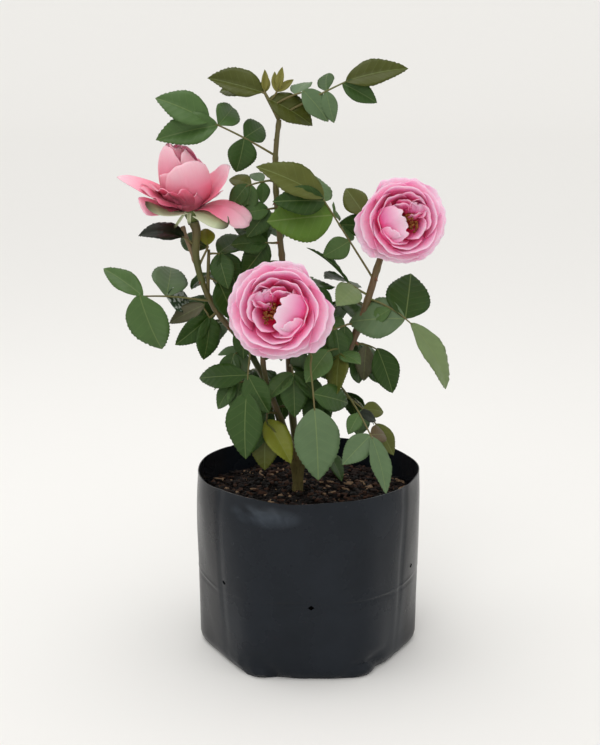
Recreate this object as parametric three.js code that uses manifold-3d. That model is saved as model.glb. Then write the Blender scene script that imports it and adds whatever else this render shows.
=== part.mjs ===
// A rose bush in a black polythene nursery bag, as a group of closed solids in millimetres.
// +Z is up, +X is to the viewer's right, +Y is away from the viewer.
// The origin is the middle of the bag's flat underside.
import * as THREE from "three";
import { mergeVertices } from "three/addons/utils/BufferGeometryUtils.js";
import Module from "manifold-3d";

const wasm = await Module();
wasm.setup();

// Clear space between neighbouring solids
const GAP = 0.3;

const UP = new THREE.Vector3(0, 0, 1);
const vector = (x, y, z) => new THREE.Vector3(x, y, z);
const radians = THREE.MathUtils.degToRad;

// Heading 0 is +X, 90 is +Y, 180 is -X and 270 is towards the viewer. Rise is above level.
function aim(heading, rise) {
  const h = radians(heading);
  const r = radians(rise);
  return vector(Math.cos(h) * Math.cos(r), Math.sin(h) * Math.cos(r), Math.sin(r));
}

// The same run of numbers from 0 to 1 on every machine
function seeded(seed) {
  let state = seed;
  return () => {
    state = (state * 16807) % 2147483647;
    return state / 2147483647;
  };
}

// A closed skin through rings of points, each ring turning right-handed about the way it travels.
// A ring of one point is a tip, and an open end is capped.
function loft(rings) {
  const positions = [];
  const index = [];
  const starts = rings.map((ring) => {
    const start = positions.length / 3;
    ring.forEach((p) => positions.push(p.x, p.y, p.z));
    return start;
  });
  const corner = (r, k) => starts[r] + (k % rings[r].length);
  for (let r = 0; r + 1 < rings.length; r++) {
    const count = Math.max(rings[r].length, rings[r + 1].length);
    for (let k = 0; k < count; k++) {
      if (rings[r].length > 1) index.push(corner(r, k), corner(r, k + 1), corner(r + 1, k));
      if (rings[r + 1].length > 1) index.push(corner(r, k + 1), corner(r + 1, k + 1), corner(r + 1, k));
    }
  }
  const end = rings.length - 1;
  for (let k = 1; k + 1 < rings[0].length; k++) {
    index.push(corner(0, 0), corner(0, k + 1), corner(0, k));
  }
  for (let k = 1; k + 1 < rings[end].length; k++) {
    index.push(corner(end, 0), corner(end, k), corner(end, k + 1));
  }
  return new THREE.BufferGeometry()
    .setAttribute("position", new THREE.Float32BufferAttribute(positions, 3))
    .setIndex(index);
}

function toSolid(geometry) {
  const merged = mergeVertices(geometry, 1e-4);
  return new wasm.Manifold(
    new wasm.Mesh({
      numProp: 3,
      vertProperties: merged.attributes.position.array,
      triVerts: new Uint32Array(merged.index.array),
    }),
  );
}

function toGeometry(solid) {
  const mesh = solid.getMesh();
  return new THREE.BufferGeometry()
    .setAttribute("position", new THREE.BufferAttribute(mesh.vertProperties, 3))
    .setIndex(new THREE.BufferAttribute(mesh.triVerts, 1));
}

const fuse = (geometries) => geometries.map(toSolid).reduce((whole, piece) => whole.add(piece));

// A tapering round limb along a line of points. A parallel frame is carried along it, so it never twists.
// Its first and last rings face along the ends given.
function limb(points, radii, sides, ends = []) {
  let across = null;
  const rings = points.map((point, i) => {
    const before = points[Math.max(0, i - 1)];
    const after = points[Math.min(points.length - 1, i + 1)];
    const facing = i === 0 ? ends[0] : i === points.length - 1 ? ends[1] : null;
    const along = facing ?? after.clone().sub(before).normalize();
    if (!across) across = Math.abs(along.z) > 0.9 ? vector(1, 0, 0) : UP.clone();
    across.addScaledVector(along, -across.dot(along)).normalize();
    const third = along.clone().cross(across);
    return Array.from({ length: sides }, (_, k) => {
      const turn = (k / sides) * 2 * Math.PI;
      return point
        .clone()
        .addScaledVector(across, Math.cos(turn) * radii[i])
        .addScaledVector(third, Math.sin(turn) * radii[i]);
    });
  });
  return loft(rings);
}

// The bag: a soft hexagon where it stands, turning round towards its open rim
const BAG_HEIGHT = 160;
const BAG_WALL = 1.6;
const BAG_SIDES = 36;
const FOOT_FLAT = 88;
const FOOT_SHARPNESS = 14;
const FLAT_TURNS = [30, 90, 150];
const RIM_RADIUS = 98.5;
const RIM_WAVE = 0.9;
const BAG_LEVELS = [
  { z: 0, size: 0.955, hexagon: 1 },
  { z: 5, size: 1, hexagon: 1 },
  { z: 50, size: 1, hexagon: 0.6 },
  { z: 105, size: 1, hexagon: 0.25 },
  { z: BAG_HEIGHT, size: 1, hexagon: 0 },
];

// One ring of the bag's film at a height, taken in by a distance
function bagRing(height, inset) {
  const above = Math.max(1, BAG_LEVELS.findIndex((level) => level.z >= height));
  const low = BAG_LEVELS[above - 1];
  const high = BAG_LEVELS[above];
  const blend = (key) => THREE.MathUtils.mapLinear(height, low.z, high.z, low[key], high[key]);
  return Array.from({ length: BAG_SIDES }, (_, k) => {
    const turn = (k / BAG_SIDES) * 2 * Math.PI;
    const flats = FLAT_TURNS.map((flat) => Math.abs(Math.cos(turn - radians(flat))) ** FOOT_SHARPNESS);
    const foot = FOOT_FLAT * (flats[0] + flats[1] + flats[2]) ** (-1 / FOOT_SHARPNESS);
    const rim = RIM_RADIUS + RIM_WAVE * Math.sin(3 * turn + 0.6);
    const radius = blend("size") * THREE.MathUtils.lerp(rim, foot, blend("hexagon")) - inset;
    return vector(Math.cos(turn) * radius, Math.sin(turn) * radius, height);
  });
}

function makeBag() {
  const levels = BAG_LEVELS.map((level) => level.z);
  const outside = levels.map((z) => bagRing(z, 0));
  const inside = levels
    .slice(1)
    .reverse()
    .map((z) => bagRing(z, BAG_WALL));
  const floor = bagRing(BAG_WALL, BAG_WALL * 2);
  return toSolid(loft([[vector(0, 0, 0)], ...outside, ...inside, floor, [vector(0, 0, BAG_WALL)]]));
}

// The soil fills the bag to below its rim, rough on top, and flat where the stump stands.
const SOIL_LEVEL = 138;
const SOIL_EDGE = 133;
const SOIL_RINGS = [0.95, 0.72, 0.46];
const SOIL_ROUGHNESS = 2.4;
const SOIL_SIDE_GAP = 1.2;
const ROOT = { x: -9, y: -1 };
const STAND_RADIUS = 19;

function makeSoil() {
  const random = seeded(77);
  const inset = BAG_WALL + SOIL_SIDE_GAP;
  const wall = [5, 50, 105, SOIL_EDGE].map((z) => bagRing(z, inset));
  const top = SOIL_RINGS.map((share) =>
    bagRing(SOIL_EDGE, inset).map((p) =>
      vector(p.x * share, p.y * share, SOIL_LEVEL - SOIL_ROUGHNESS * (0.3 * share + random())),
    ),
  );
  const stand = Array.from({ length: BAG_SIDES }, (_, k) => {
    const turn = (k / BAG_SIDES) * 2 * Math.PI;
    const [x, y] = [STAND_RADIUS * Math.cos(turn), STAND_RADIUS * Math.sin(turn)];
    return vector(ROOT.x + x, ROOT.y + y, SOIL_LEVEL);
  });
  const floor = BAG_WALL + GAP;
  const bottom = bagRing(floor, BAG_WALL * 2 + SOIL_SIDE_GAP);
  const centre = vector(ROOT.x, ROOT.y, SOIL_LEVEL);
  return toSolid(loft([[vector(0, 0, floor)], bottom, ...wall, ...top, stand, [centre]]));
}

// The stump: a flared foot with a flat cut on the soil and a flat top that the canes stand on
const STUMP_HEIGHT = 30;
const STUMP_RADIUS = 12;
const STUMP_SIDES = 14;
const STUMP_TOP = SOIL_LEVEL + GAP + STUMP_HEIGHT;

function makeStump() {
  const heights = [0, 0.2, 0.6, 1];
  const flare = [1.3, 1.04, 0.92, 0.98];
  const points = heights.map((share) => vector(ROOT.x, ROOT.y, SOIL_LEVEL + GAP + STUMP_HEIGHT * share));
  return toSolid(limb(points, flare.map((share) => STUMP_RADIUS * share), STUMP_SIDES));
}

// The blooms: where the petals join, which way the flower faces, and its whorls from the outside in.
// Each petal is a patch of a cup: rim and height of the cup, lip rolled out, half-width in degrees.
const HIP_LENGTH = 12;
const HIP_RADII = [6.2, 6, 3.6];
const HIP_SIDES = 9;
const PETAL_THICKNESS = 1.2;
const PETAL_STATIONS = [0.12, 0.45, 0.8, 1];
const PETAL_SPREAD = [0.6, 0.95, 1, 0.6];
const PETAL_ACROSS = [-1, 0, 1];
const PETAL_SPIRAL = 0.05;
const LIP_START = 0.65;
const HEART_SIDES = 12;
const OPEN_HEART = [
  [0, 1], [7, 3], [16, 9], [20, 17], [18, 24],
  [14, 21], [11, 25], [7, 20], [4, 22], [0, 15],
];
const BUD_HEART = [[0, 1], [9, 3], [18, 12], [19.5, 27], [14, 41], [9, 38], [5, 53], [0, 48]];
const SEPAL = { rim: 21, height: -7, lip: 3, width: 11 };
const BLOOMS = {
  bloom_front: {
    at: [-22, -41, 307],
    facing: [266, 9],
    heart: OPEN_HEART,
    room: { wide: 40, deep: 17, ahead: 14 },
    sepals: 0,
    whorls: [
      { count: 5, turn: 20, step: 72, rim: 37.5, height: 19, lip: 3.5, width: 37 },
      { count: 5, turn: 56, step: 72, rim: 29, height: 23, lip: 2.5, width: 37 },
    ],
  },
  bloom_right: {
    at: [75, -3, 375],
    facing: [276, 6],
    heart: OPEN_HEART,
    room: { wide: 35, deep: 17, ahead: 14 },
    sepals: 0,
    whorls: [
      { count: 5, turn: 47, step: 72, rim: 33.5, height: 17, lip: 2.5, width: 37 },
      { count: 5, turn: 8, step: 72, rim: 26, height: 22, lip: 2, width: 38 },
    ],
  },
  bloom_left: {
    at: [-97, -10, 386],
    facing: [188, 77],
    heart: BUD_HEART,
    room: { wide: 24, deep: 27, ahead: 24 },
    sepals: 5,
    whorls: [
      { count: 1, turn: 265, step: 0, rim: 40, height: 31, lip: 6, width: 54 },
      { count: 1, turn: 98, step: 0, rim: 31, height: 35, lip: 9, width: 58 },
      { count: 1, turn: 58, step: 0, rim: 40, height: -17, lip: 4, width: 42 },
      { count: 1, turn: 304, step: 0, rim: 35, height: 10, lip: 2, width: 36 },
      { count: 1, turn: 170, step: 0, rim: 32, height: 24, lip: 4, width: 42 },
    ],
  },
};

// A function from radius, turn and height in a bloom to a point, turn 0 to the side and 90 upwards
function bloomPlace(name) {
  const { at, facing } = BLOOMS[name];
  const axis = aim(...facing);
  const across = aim(facing[0] + 90, 0);
  const up = axis.clone().cross(across);
  return (radius, turn, height) =>
    vector(...at)
      .addScaledVector(across, radius * Math.cos(radians(turn)))
      .addScaledVector(up, radius * Math.sin(radians(turn)))
      .addScaledVector(axis, height);
}

function petal(place, { rim, height, lip, width }, turn) {
  const cup = (share, u, offset) => {
    const angle = (share * Math.PI) / 2;
    const rolled = Math.max(0, (share - LIP_START) / (1 - LIP_START)) ** 2;
    const slope = Math.hypot(rim * Math.cos(angle), height * Math.sin(angle));
    const radius = rim * Math.sin(angle) * (1 + PETAL_SPIRAL * u) + lip * rolled;
    const rise = height * (1 - Math.cos(angle)) - 0.4 * lip * rolled;
    return [
      radius + (offset * height * Math.sin(angle)) / slope,
      rise - (offset * rim * Math.cos(angle)) / slope,
    ];
  };
  const rings = PETAL_STATIONS.map((share, i) => {
    const section = (offset) =>
      PETAL_ACROSS.map((u) => {
        const [radius, rise] = cup(share, u, offset);
        return place(radius, turn + u * width * PETAL_SPREAD[i], rise);
      });
    return [...section(PETAL_THICKNESS / 2), ...section(-PETAL_THICKNESS / 2).reverse()];
  });
  return loft(rings);
}

function heart(place, profile) {
  return loft(
    profile.map(([radius, height], level) => {
      if (radius === 0) return [place(0, 0, height)];
      return Array.from({ length: HEART_SIDES }, (_, k) => {
        const turn = (k / HEART_SIDES) * 360;
        const waved = radius * (1 + 0.07 * Math.sin(radians(3 * turn) + level));
        return place(waved, turn, height);
      });
    }),
  );
}

function makeBloom(name) {
  const { heart: profile, whorls, sepals: count } = BLOOMS[name];
  const place = bloomPlace(name);
  const hip = [2, -4, -HIP_LENGTH].map((height) => place(0, 0, height));
  const petals = whorls.flatMap((whorl) =>
    Array.from({ length: whorl.count }, (_, i) => petal(place, whorl, whorl.turn + i * whorl.step)),
  );
  const sepals = Array.from({ length: count }, (_, i) => petal(place, SEPAL, 40 + (360 / count) * i));
  return fuse([limb(hip, HIP_RADII, HIP_SIDES), heart(place, profile), ...petals, ...sepals]);
}

// The canes: rounded points each one passes through, its radius where it starts and ends, and its bloom.
// A cane with a bloom bends at its end to meet the hip squarely.
const CANE_SIDES = 8;
const CANE_STEPS = 2;
const CANE_NECK = 9;
const CANES = {
  centre: {
    radii: [4.4, 2.6],
    through: [
      [-9, 6], [-14, 8, 212], [-17, 11, 275], [-21, 13, 330],
      [-26, 12, 385], [-27, 10, 425], [-24, 8, 456],
    ],
  },
  left: {
    radii: [4.2, 3.3],
    through: [
      [-16, -1], [-30, 0, 220], [-52, 0, 266],
      [-74, -5, 294], [-87, -8, 320], [-93, -9, 345],
    ],
    bloom: "bloom_left",
  },
  right: {
    radii: [4.3, 2.8],
    through: [
      [-2, -1], [6, -1, 200], [22, -2, 238], [38, -3, 272],
      [50, -2, 306], [58, 2, 333], [67, 13, 358],
    ],
    bloom: "bloom_right",
  },
  front: {
    radii: [3.9, 2.7],
    through: [[-9, -8], [-22, -15, 205], [-34, -20, 238], [-38, -21, 268], [-31, -17, 291]],
    bloom: "bloom_front",
  },
};

function caneCurve(name) {
  const { through, bloom } = CANES[name];
  const points = through.map(([x, y, z]) => vector(x, y, z ?? STUMP_TOP + GAP));
  if (bloom) {
    const place = bloomPlace(bloom);
    points.push(place(0, 0, -HIP_LENGTH - GAP - CANE_NECK), place(0, 0, -HIP_LENGTH - GAP));
  }
  return new THREE.CatmullRomCurve3(points, false, "catmullrom", 0.5);
}

// A cane as a solid, made thicker and longer by a clearance where it is to be cut from a shoot
function caneSolid(name, clearance) {
  const curve = caneCurve(name);
  const rings = (curve.points.length - 1) * CANE_STEPS + 1;
  const shares = Array.from({ length: rings }, (_, i) => i / (rings - 1));
  const radii = shares.map((share) => THREE.MathUtils.lerp(...CANES[name].radii, share) + clearance);
  const points = shares.map((share) => curve.getPoint(share));
  if (clearance > 0) {
    points.push(points[rings - 1].clone().addScaledVector(curve.getTangent(1), clearance));
    radii.push(radii[rings - 1]);
  }
  return toSolid(limb(points, radii, CANE_SIDES, [UP, curve.getTangent(1)]));
}

// A leaflet: a blade folded along its midrib and curled down towards its point
const BLADE_WIDTH = 0.64;
const BLADE_THICKNESS = 0.026;
const BLADE_FOLD = 14;
const BLADE_CURL = 30;
const BLADE_STATIONS = [0.13, 0.45, 0.8];
const STUB_RADIUS = 0.8;
const STUB_SUNK = 2;

const bladeHalf = (share) => 0.5 * BLADE_WIDTH * Math.sin(Math.PI * share ** 0.8) ** 0.9;

// A point of the curled blade, and its upward normal there
function bladeFrame(leaf, share) {
  const bend = radians(BLADE_CURL) * share;
  const run = (Math.sin(bend) / radians(BLADE_CURL)) * leaf.length;
  const fall = ((1 - Math.cos(bend)) / radians(BLADE_CURL)) * leaf.length;
  const point = leaf.base.clone().addScaledVector(leaf.along, run).addScaledVector(leaf.face, -fall);
  const normal = leaf.face
    .clone()
    .multiplyScalar(Math.cos(bend))
    .addScaledVector(leaf.along, Math.sin(bend));
  return { point, normal };
}

function bladeEdge(leaf, share, hand) {
  const { point, normal } = bladeFrame(leaf, share);
  const side = leaf.along.clone().cross(leaf.face);
  const half = bladeHalf(share) * leaf.length * leaf.width;
  return point
    .addScaledVector(side, hand * half * Math.cos(radians(BLADE_FOLD)))
    .addScaledVector(normal, half * Math.sin(radians(BLADE_FOLD)));
}

function leafletSolid(leaf) {
  const side = leaf.along.clone().cross(leaf.face);
  const stub = [leaf.face, side, leaf.face.clone().negate(), side.clone().negate()].map((way) =>
    leaf.base.clone().addScaledVector(way, STUB_RADIUS),
  );
  const rings = BLADE_STATIONS.map((share) => {
    const { point, normal } = bladeFrame(leaf, share);
    const half = (BLADE_THICKNESS * leaf.length) / 2;
    return [
      point.clone().addScaledVector(normal, half),
      bladeEdge(leaf, share, 1),
      point.clone().addScaledVector(normal, -half),
      bladeEdge(leaf, share, -1),
    ];
  });
  return loft([stub, ...rings, [bladeFrame(leaf, 1).point]]);
}

// A compound leaf: a stalk that sags as it goes, pairs of leaflets along it and one at its end.
// Roll turns the leaf's upper face about the stalk; hang turns the end leaflet further down.
const STALK_STEPS = 3;
const STALK_SIDES = 3;
const STALK_ROOT = 1.4;
const STALK_TIP = 0.9;
const LEAF = {
  sag: 12,
  swing: 0,
  roll: 0,
  hang: 10,
  droop: 18,
  width: 1,
  pairs: [0.48, 0.84],
  sizes: [[0.62, 0.62], [0.84, 0.84]],
  spread: [[66, 66], [58, 58]],
  missing: [],
};
const JITTER = { angle: 14, size: 0.12 };

function stalkPath(row, root) {
  const points = [root.clone()];
  for (let i = 0; i < STALK_STEPS; i++) {
    const share = (i + 0.5) / STALK_STEPS;
    const way = aim(row.heading + row.swing * share, row.rise - row.sag * share);
    points.push(points[i].clone().addScaledVector(way, row.reach / STALK_STEPS));
  }
  return points;
}

function growLeaf(given, root, random) {
  const row = { ...LEAF, ...given };
  const path = stalkPath(row, root);
  const at = (share) => {
    const step = Math.min(STALK_STEPS - 1, Math.floor(share * STALK_STEPS));
    return path[step].clone().lerp(path[step + 1], share * STALK_STEPS - step);
  };
  const frame = (share, pitch) => {
    const heading = row.heading + row.swing * share;
    const along = aim(heading, row.rise - row.sag * share - pitch);
    const level = aim(heading - 90, 0);
    const face = level.clone().cross(along).applyAxisAngle(along, radians(row.roll));
    return { along, face };
  };
  const shake = () => (random() - 0.5) * 2 * JITTER.angle;
  const grow = () => 1 + (random() - 0.5) * 2 * JITTER.size;
  const end = frame(1, row.hang);
  const tip = at(1).addScaledVector(end.along, -STUB_SUNK);
  const leaflets = [{ ...end, base: tip, length: row.blade * grow() }];
  row.pairs.forEach((share, pair) => {
    for (const hand of [1, -1]) {
      const { along, face } = frame(share, 0);
      const number = hand > 0 ? 0 : 1;
      const spread = row.spread[pair][number];
      const turned = along.applyAxisAngle(face, radians(-hand * (spread + shake())));
      const side = turned.clone().cross(face);
      turned.applyAxisAngle(side, radians(-row.droop - shake()));
      leaflets.push({
        base: at(share),
        along: turned,
        face: side.clone().cross(turned),
        length: row.blade * row.sizes[pair][number] * grow(),
      });
    }
  });
  const kept = leaflets.filter((_, number) => !row.missing.includes(number));
  return { path, leaflets: kept.map((leaf) => ({ ...leaf, width: row.width })) };
}

function leafSolids({ path, leaflets }) {
  const radii = path.map((_, i) => THREE.MathUtils.lerp(STALK_ROOT, STALK_TIP, i / (path.length - 1)));
  return [limb(path, radii, STALK_SIDES), ...leaflets.map(leafletSolid)];
}

// The shoots: each is one mass of foliage on a short spur that meets a cane.
// "on" is the cane and how far up it, "spur" the spur's heading, rise and length.
// Each leaf grows from a share of the spur. Missing leaflets are ones that would touch something else.
const SPUR_RADIUS = 1.9;
const SPUR_SIDES = 5;
const SPUR_PAST = 1.08;
const SHOOTS = {
  top_spray: {
    on: ["centre", 1],
    spur: [175, 76, 22],
    leaves: [
      {
        from: 0.1, heading: 352, rise: 29, reach: 63, sag: 4, roll: 60, hang: 6,
        blade: 60, width: 0.84, pairs: [0.7, 0.92],
        sizes: [[0.46, 0.46], [0.58, 0]], spread: [[105, 70], [48, 60]], missing: [4],
      },
      {
        from: 1, heading: 186, rise: 20, reach: 4, sag: 0, roll: -52, hang: 2,
        blade: 48, pairs: [0.6],
        sizes: [[0.95, 0]], spread: [[12, 40]], missing: [2],
      },
      {
        from: 0.78, heading: 350, rise: -12, reach: 6, sag: 0, roll: 50, hang: 0,
        blade: 44, pairs: [],
      },
      {
        from: 0.7, heading: 350, rise: 40, reach: 14, sag: -30, roll: 90, hang: -12,
        blade: 19, width: 0.6, pairs: [0.7],
        sizes: [[1, 1]], spread: [[24, 30]],
      },
      {
        from: 0.5, heading: 345, rise: 34, reach: 30, sag: 20, roll: 50, hang: 40,
        blade: 33, pairs: [0.75],
        sizes: [[0, 0.95]], spread: [[60, 60]], missing: [1],
      },
    ],
  },
  high_left_leaf: {
    on: ["centre", 0.84],
    spur: [205, 30, 8],
    leaves: [
      {
        from: 1, heading: 194, rise: 31, reach: 57, sag: 8, roll: -62, hang: -8,
        blade: 52, pairs: [0.4, 0.82],
        sizes: [[0.52, 0.56], [0.66, 0.84]], spread: [[118, 100], [104, 22]],
      },
    ],
  },
  inner_right_leaf: {
    on: ["right", 0.58],
    spur: [195, 60, 8],
    leaves: [
      {
        from: 1, heading: 196, rise: 57, reach: 77, sag: 0, roll: -60, hang: 24,
        blade: 70, width: 0.86, pairs: [0.42, 0.76, 0.94],
        sizes: [[0.3, 0.3], [0.46, 0.7], [0.5, 0.76]], spread: [[60, 75], [92, 58], [62, 50]],
      },
    ],
  },
  bloom_side_leaf: {
    on: ["right", 0.7],
    spur: [160, 40, 8],
    leaves: [
      {
        from: 1, heading: 152, rise: 62, reach: 28, sag: 0, roll: -60, hang: 10,
        blade: 34, pairs: [0.55],
        sizes: [[0.6, 0.95]], spread: [[60, 62]],
      },
    ],
  },
  middle_left_leaf: {
    on: ["centre", 0.66],
    spur: [232, 0, 7],
    leaves: [
      {
        from: 1, heading: 208, rise: -4, reach: 5, sag: 0, roll: -62, hang: -2,
        blade: 27, pairs: [0.5],
        sizes: [[0, 1]], spread: [[26, 34]], missing: [1],
      },
    ],
  },
  middle_low_leaf: {
    on: ["centre", 0.57],
    spur: [215, 0, 7],
    leaves: [
      {
        from: 1, heading: 208, rise: 6, reach: 8, sag: 0, roll: -60, hang: 0,
        blade: 34, pairs: [0.7],
        sizes: [[0.9, 0.9]], spread: [[50, 50]],
      },
    ],
  },
  dark_left_leaf: {
    on: ["left", 0.77],
    spur: [190, 40, 7],
    leaves: [
      {
        from: 1, heading: 186, rise: 32, reach: 6, sag: 0, roll: -42, hang: 22,
        blade: 44, pairs: [],
      },
    ],
  },
  left_leaf: {
    on: ["left", 0.5],
    spur: [200, 10, 8],
    leaves: [
      {
        from: 1, heading: 194, rise: 12, reach: 45, sag: 12, roll: -62, hang: 96,
        blade: 62, pairs: [0.36, 0.95],
        sizes: [[0.82, 0.38], [0.74, 0]], spread: [[58, 152], [60, 60]], missing: [4],
      },
    ],
  },
  left_low_leaf: {
    on: ["left", 0.45],
    spur: [205, -35, 8],
    leaves: [
      {
        from: 1, heading: 190, rise: -16, reach: 6, sag: 0, roll: -60, hang: 2,
        blade: 40, pairs: [0.6],
        sizes: [[0.84, 0.9]], spread: [[-28, 100]], missing: [1],
      },
    ],
  },
  left_inner_shoot: {
    on: ["left", 0.53],
    spur: [80, 80, 36],
    leaves: [
      {
        from: 0.95, heading: 345, rise: 10, reach: 12, sag: 20, roll: 50, hang: 50,
        blade: 40, pairs: [0.7],
        sizes: [[0.85, 0.85]], spread: [[60, 60]],
      },
      {
        from: 0.4, heading: 330, rise: -10, reach: 12, sag: 20, roll: 40, hang: 30,
        blade: 36, pairs: [],
      },
      {
        from: 1, heading: 150, rise: 60, reach: 5, sag: 20, roll: -50, hang: 20,
        blade: 32, pairs: [],
      },
    ],
  },
  front_left_leaf: {
    on: ["front", 0.48],
    spur: [215, 20, 12],
    leaves: [
      {
        from: 1, heading: 258, rise: -62, reach: 44, sag: 15, roll: 0, hang: -6, droop: 0,
        blade: 59, pairs: [0.64],
        sizes: [[0.86, 0.6]], spread: [[90, 46]],
      },
    ],
  },
  front_leaf: {
    on: ["front", 0.58],
    spur: [333, -10, 40],
    leaves: [
      {
        from: 1, heading: 285, rise: -55, reach: 52, sag: 20, roll: 0, hang: -6, droop: 10,
        blade: 68, pairs: [0.78],
        sizes: [[0.66, 0.74]], spread: [[84, 66]],
      },
    ],
  },
  yellow_leaf: {
    on: ["front", 0.2],
    spur: [255, 10, 8],
    leaves: [
      {
        from: 1, heading: 262, rise: -25, reach: 14, sag: 20, roll: 0, hang: 20,
        blade: 46, pairs: [0.6],
        sizes: [[0.8, 0.8]], spread: [[50, 50]],
      },
    ],
  },
  right_low_leaf: {
    on: ["right", 0.25],
    spur: [298, -12, 10],
    leaves: [
      {
        from: 1, heading: 294, rise: -16, reach: 64, sag: 34, swing: 12, roll: 8, hang: 4,
        blade: 58, pairs: [0.6, 0.94],
        sizes: [[0.42, 0.36], [0.58, 0.4]], spread: [[60, 60], [70, 100]],
      },
    ],
  },
  right_low_spray: {
    on: ["right", 0.26],
    spur: [335, -10, 8],
    leaves: [
      {
        from: 1, heading: 330, rise: -14, reach: 38, sag: 36, roll: 40, hang: 0,
        blade: 34, pairs: [0.6],
        sizes: [[0.7, 0.7]], spread: [[60, 60]],
      },
    ],
  },
  right_middle_leaf: {
    on: ["right", 0.36],
    spur: [345, 15, 8],
    leaves: [
      {
        from: 1, heading: 342, rise: 0, reach: 17, sag: 30, roll: 58, hang: 36,
        blade: 48, pairs: [0.35],
        sizes: [[0.6, 0]], spread: [[85, 70]], missing: [2],
      },
    ],
  },
  right_leaf: {
    on: ["right", 0.51],
    spur: [325, -10, 8],
    leaves: [
      {
        from: 1, heading: 328, rise: -14, reach: 37, sag: 28, swing: 15, roll: 45, hang: 2,
        blade: 78, width: 0.7, pairs: [0.4, 0.8],
        sizes: [[0.4, 0.6], [0.62, 0.74]], spread: [[120, 100], [130, 124]],
      },
    ],
  },
  right_upper_leaf: {
    on: ["right", 0.52],
    spur: [190, 30, 8],
    leaves: [
      {
        from: 1, heading: 184, rise: 34, reach: 14, sag: 0, roll: -10, hang: -22,
        blade: 54, pairs: [0.4],
        sizes: [[0.85, 0.7]], spread: [[60, 60]],
      },
    ],
  },
  right_inner_shoot: {
    on: ["right", 0.34],
    spur: [240, 20, 12],
    leaves: [
      {
        from: 1, heading: 232, rise: 20, reach: 20, sag: 30, roll: -30, hang: 20,
        blade: 40, pairs: [0.7],
        sizes: [[0.85, 0.85]],
      },
      {
        from: 0.5, heading: 252, rise: 10, reach: 15, sag: 30, roll: 20, hang: 25,
        blade: 34, pairs: [0.7],
        sizes: [[0.85, 0.85]],
      },
    ],
  },
  centre_low_shoot: {
    on: ["centre", 0.26],
    spur: [275, 20, 12],
    leaves: [
      {
        from: 1, heading: 275, rise: 15, reach: 30, sag: 40, roll: 0, hang: 30,
        blade: 42, pairs: [0.4, 0.85],
      },
    ],
  },
};

// The far side of the plant, which carries leaves as thickly as the near side.
// Each shoot there is a cane, a share of it, and the heading and rise of its leaf.
const FAR_LEAF = {
  from: 1,
  reach: 38,
  sag: 30,
  hang: 20,
  blade: 45,
  pairs: [0.4, 0.86],
  sizes: [[0.6, 0.6], [0.8, 0.8]],
};
const FAR_SHOOTS = [
  ["left", 0.2, 106, 5], ["right", 0.18, 62, 10], ["centre", 0.2, 98, 0], ["left", 0.34, 110, 15],
  ["right", 0.34, 85, 10], ["centre", 0.4, 94, 10], ["left", 0.5, 100, 5], ["right", 0.48, 115, 8],
  ["left", 0.6, 72, 10], ["centre", 0.64, 110, 0],
];

FAR_SHOOTS.forEach(([cane, share, heading, rise], i) => {
  const leaves = [{ ...FAR_LEAF, heading, rise }];
  SHOOTS[`far_shoot_${i + 1}`] = { on: [cane, share], spur: [heading, rise, 10], leaves };
});

// Room: a leaflet is left out where its blade would touch a cane, a bloom or another shoot's leaflet.
const CANE_CLEAR = 2;
const CANE_PROBES = 40;
const LEAF_CLEAR = 3;
const PROBES = [0.2, 0.45, 0.7, 0.95];
const CUT_CLEARANCE = GAP * 1.15;

const caneRoom = Object.entries(CANES).flatMap(([name, { radii }]) =>
  Array.from({ length: CANE_PROBES + 1 }, (_, i) => ({
    point: caneCurve(name).getPoint(i / CANE_PROBES),
    reach: THREE.MathUtils.lerp(...radii, i / CANE_PROBES) + CANE_CLEAR,
  })),
);
const bloomRoom = Object.entries(BLOOMS).map(([name, { facing, room }]) => ({
  ...room,
  middle: bloomPlace(name)(0, 0, room.ahead),
  axis: aim(...facing),
}));
const leafRoom = [];

function bladeProbes(leaf) {
  const middle = PROBES.map((share) => bladeFrame(leaf, share).point);
  return [...middle, bladeEdge(leaf, PROBES[1], 1), bladeEdge(leaf, PROBES[1], -1)];
}

function inBloom(point) {
  return bloomRoom.some(({ middle, axis, wide, deep }) => {
    const away = point.clone().sub(middle);
    const ahead = away.dot(axis);
    const across = away.addScaledVector(axis, -ahead).length();
    return Math.hypot(ahead / deep, across / wide) < 1;
  });
}

function hasRoom(leaf) {
  return bladeProbes(leaf).every(
    (point) =>
      !caneRoom.some((cane) => cane.point.distanceTo(point) < cane.reach) &&
      !inBloom(point) &&
      !leafRoom.some((other) => other.distanceTo(point) < LEAF_CLEAR),
  );
}

function makeShoot(name, seed) {
  const { on, spur, leaves } = SHOOTS[name];
  const random = seeded(seed);
  const root = caneCurve(on[0]).getPoint(on[1]);
  const tip = root.clone().addScaledVector(aim(spur[0], spur[1]), spur[2]);
  const grown = leaves.map((row) => {
    const leaf = growLeaf(row, root.clone().lerp(tip, row.from), random);
    return { path: leaf.path, leaflets: leaf.leaflets.filter(hasRoom) };
  });
  leafRoom.push(...grown.flatMap((leaf) => leaf.leaflets.flatMap(bladeProbes)));
  const stem = [];
  if (grown.length === 1) grown[0].path.unshift(root);
  else stem.push(limb([root, root.clone().lerp(tip, SPUR_PAST)], [SPUR_RADIUS, SPUR_RADIUS], SPUR_SIDES));
  return fuse([...stem, ...grown.flatMap(leafSolids)]).subtract(caneSolid(on[0], CUT_CLEARANCE));
}

// Surfaces
const surface = (color, roughness) => new THREE.MeshStandardMaterial({ color, roughness, metalness: 0 });
const polythene = surface("#232529", 0.38);
const pottingMix = surface("#2e1d14", 0.95);
const bark = surface("#5a4a30", 0.7);
const leafGreen = surface("#3c5a33", 0.5);
const petalPink = surface("#e58ab2", 0.6);

const group = new THREE.Group();

function addPart(name, solid, material) {
  const mesh = new THREE.Mesh(toGeometry(solid), material);
  mesh.name = name;
  group.add(mesh);
}

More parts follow.
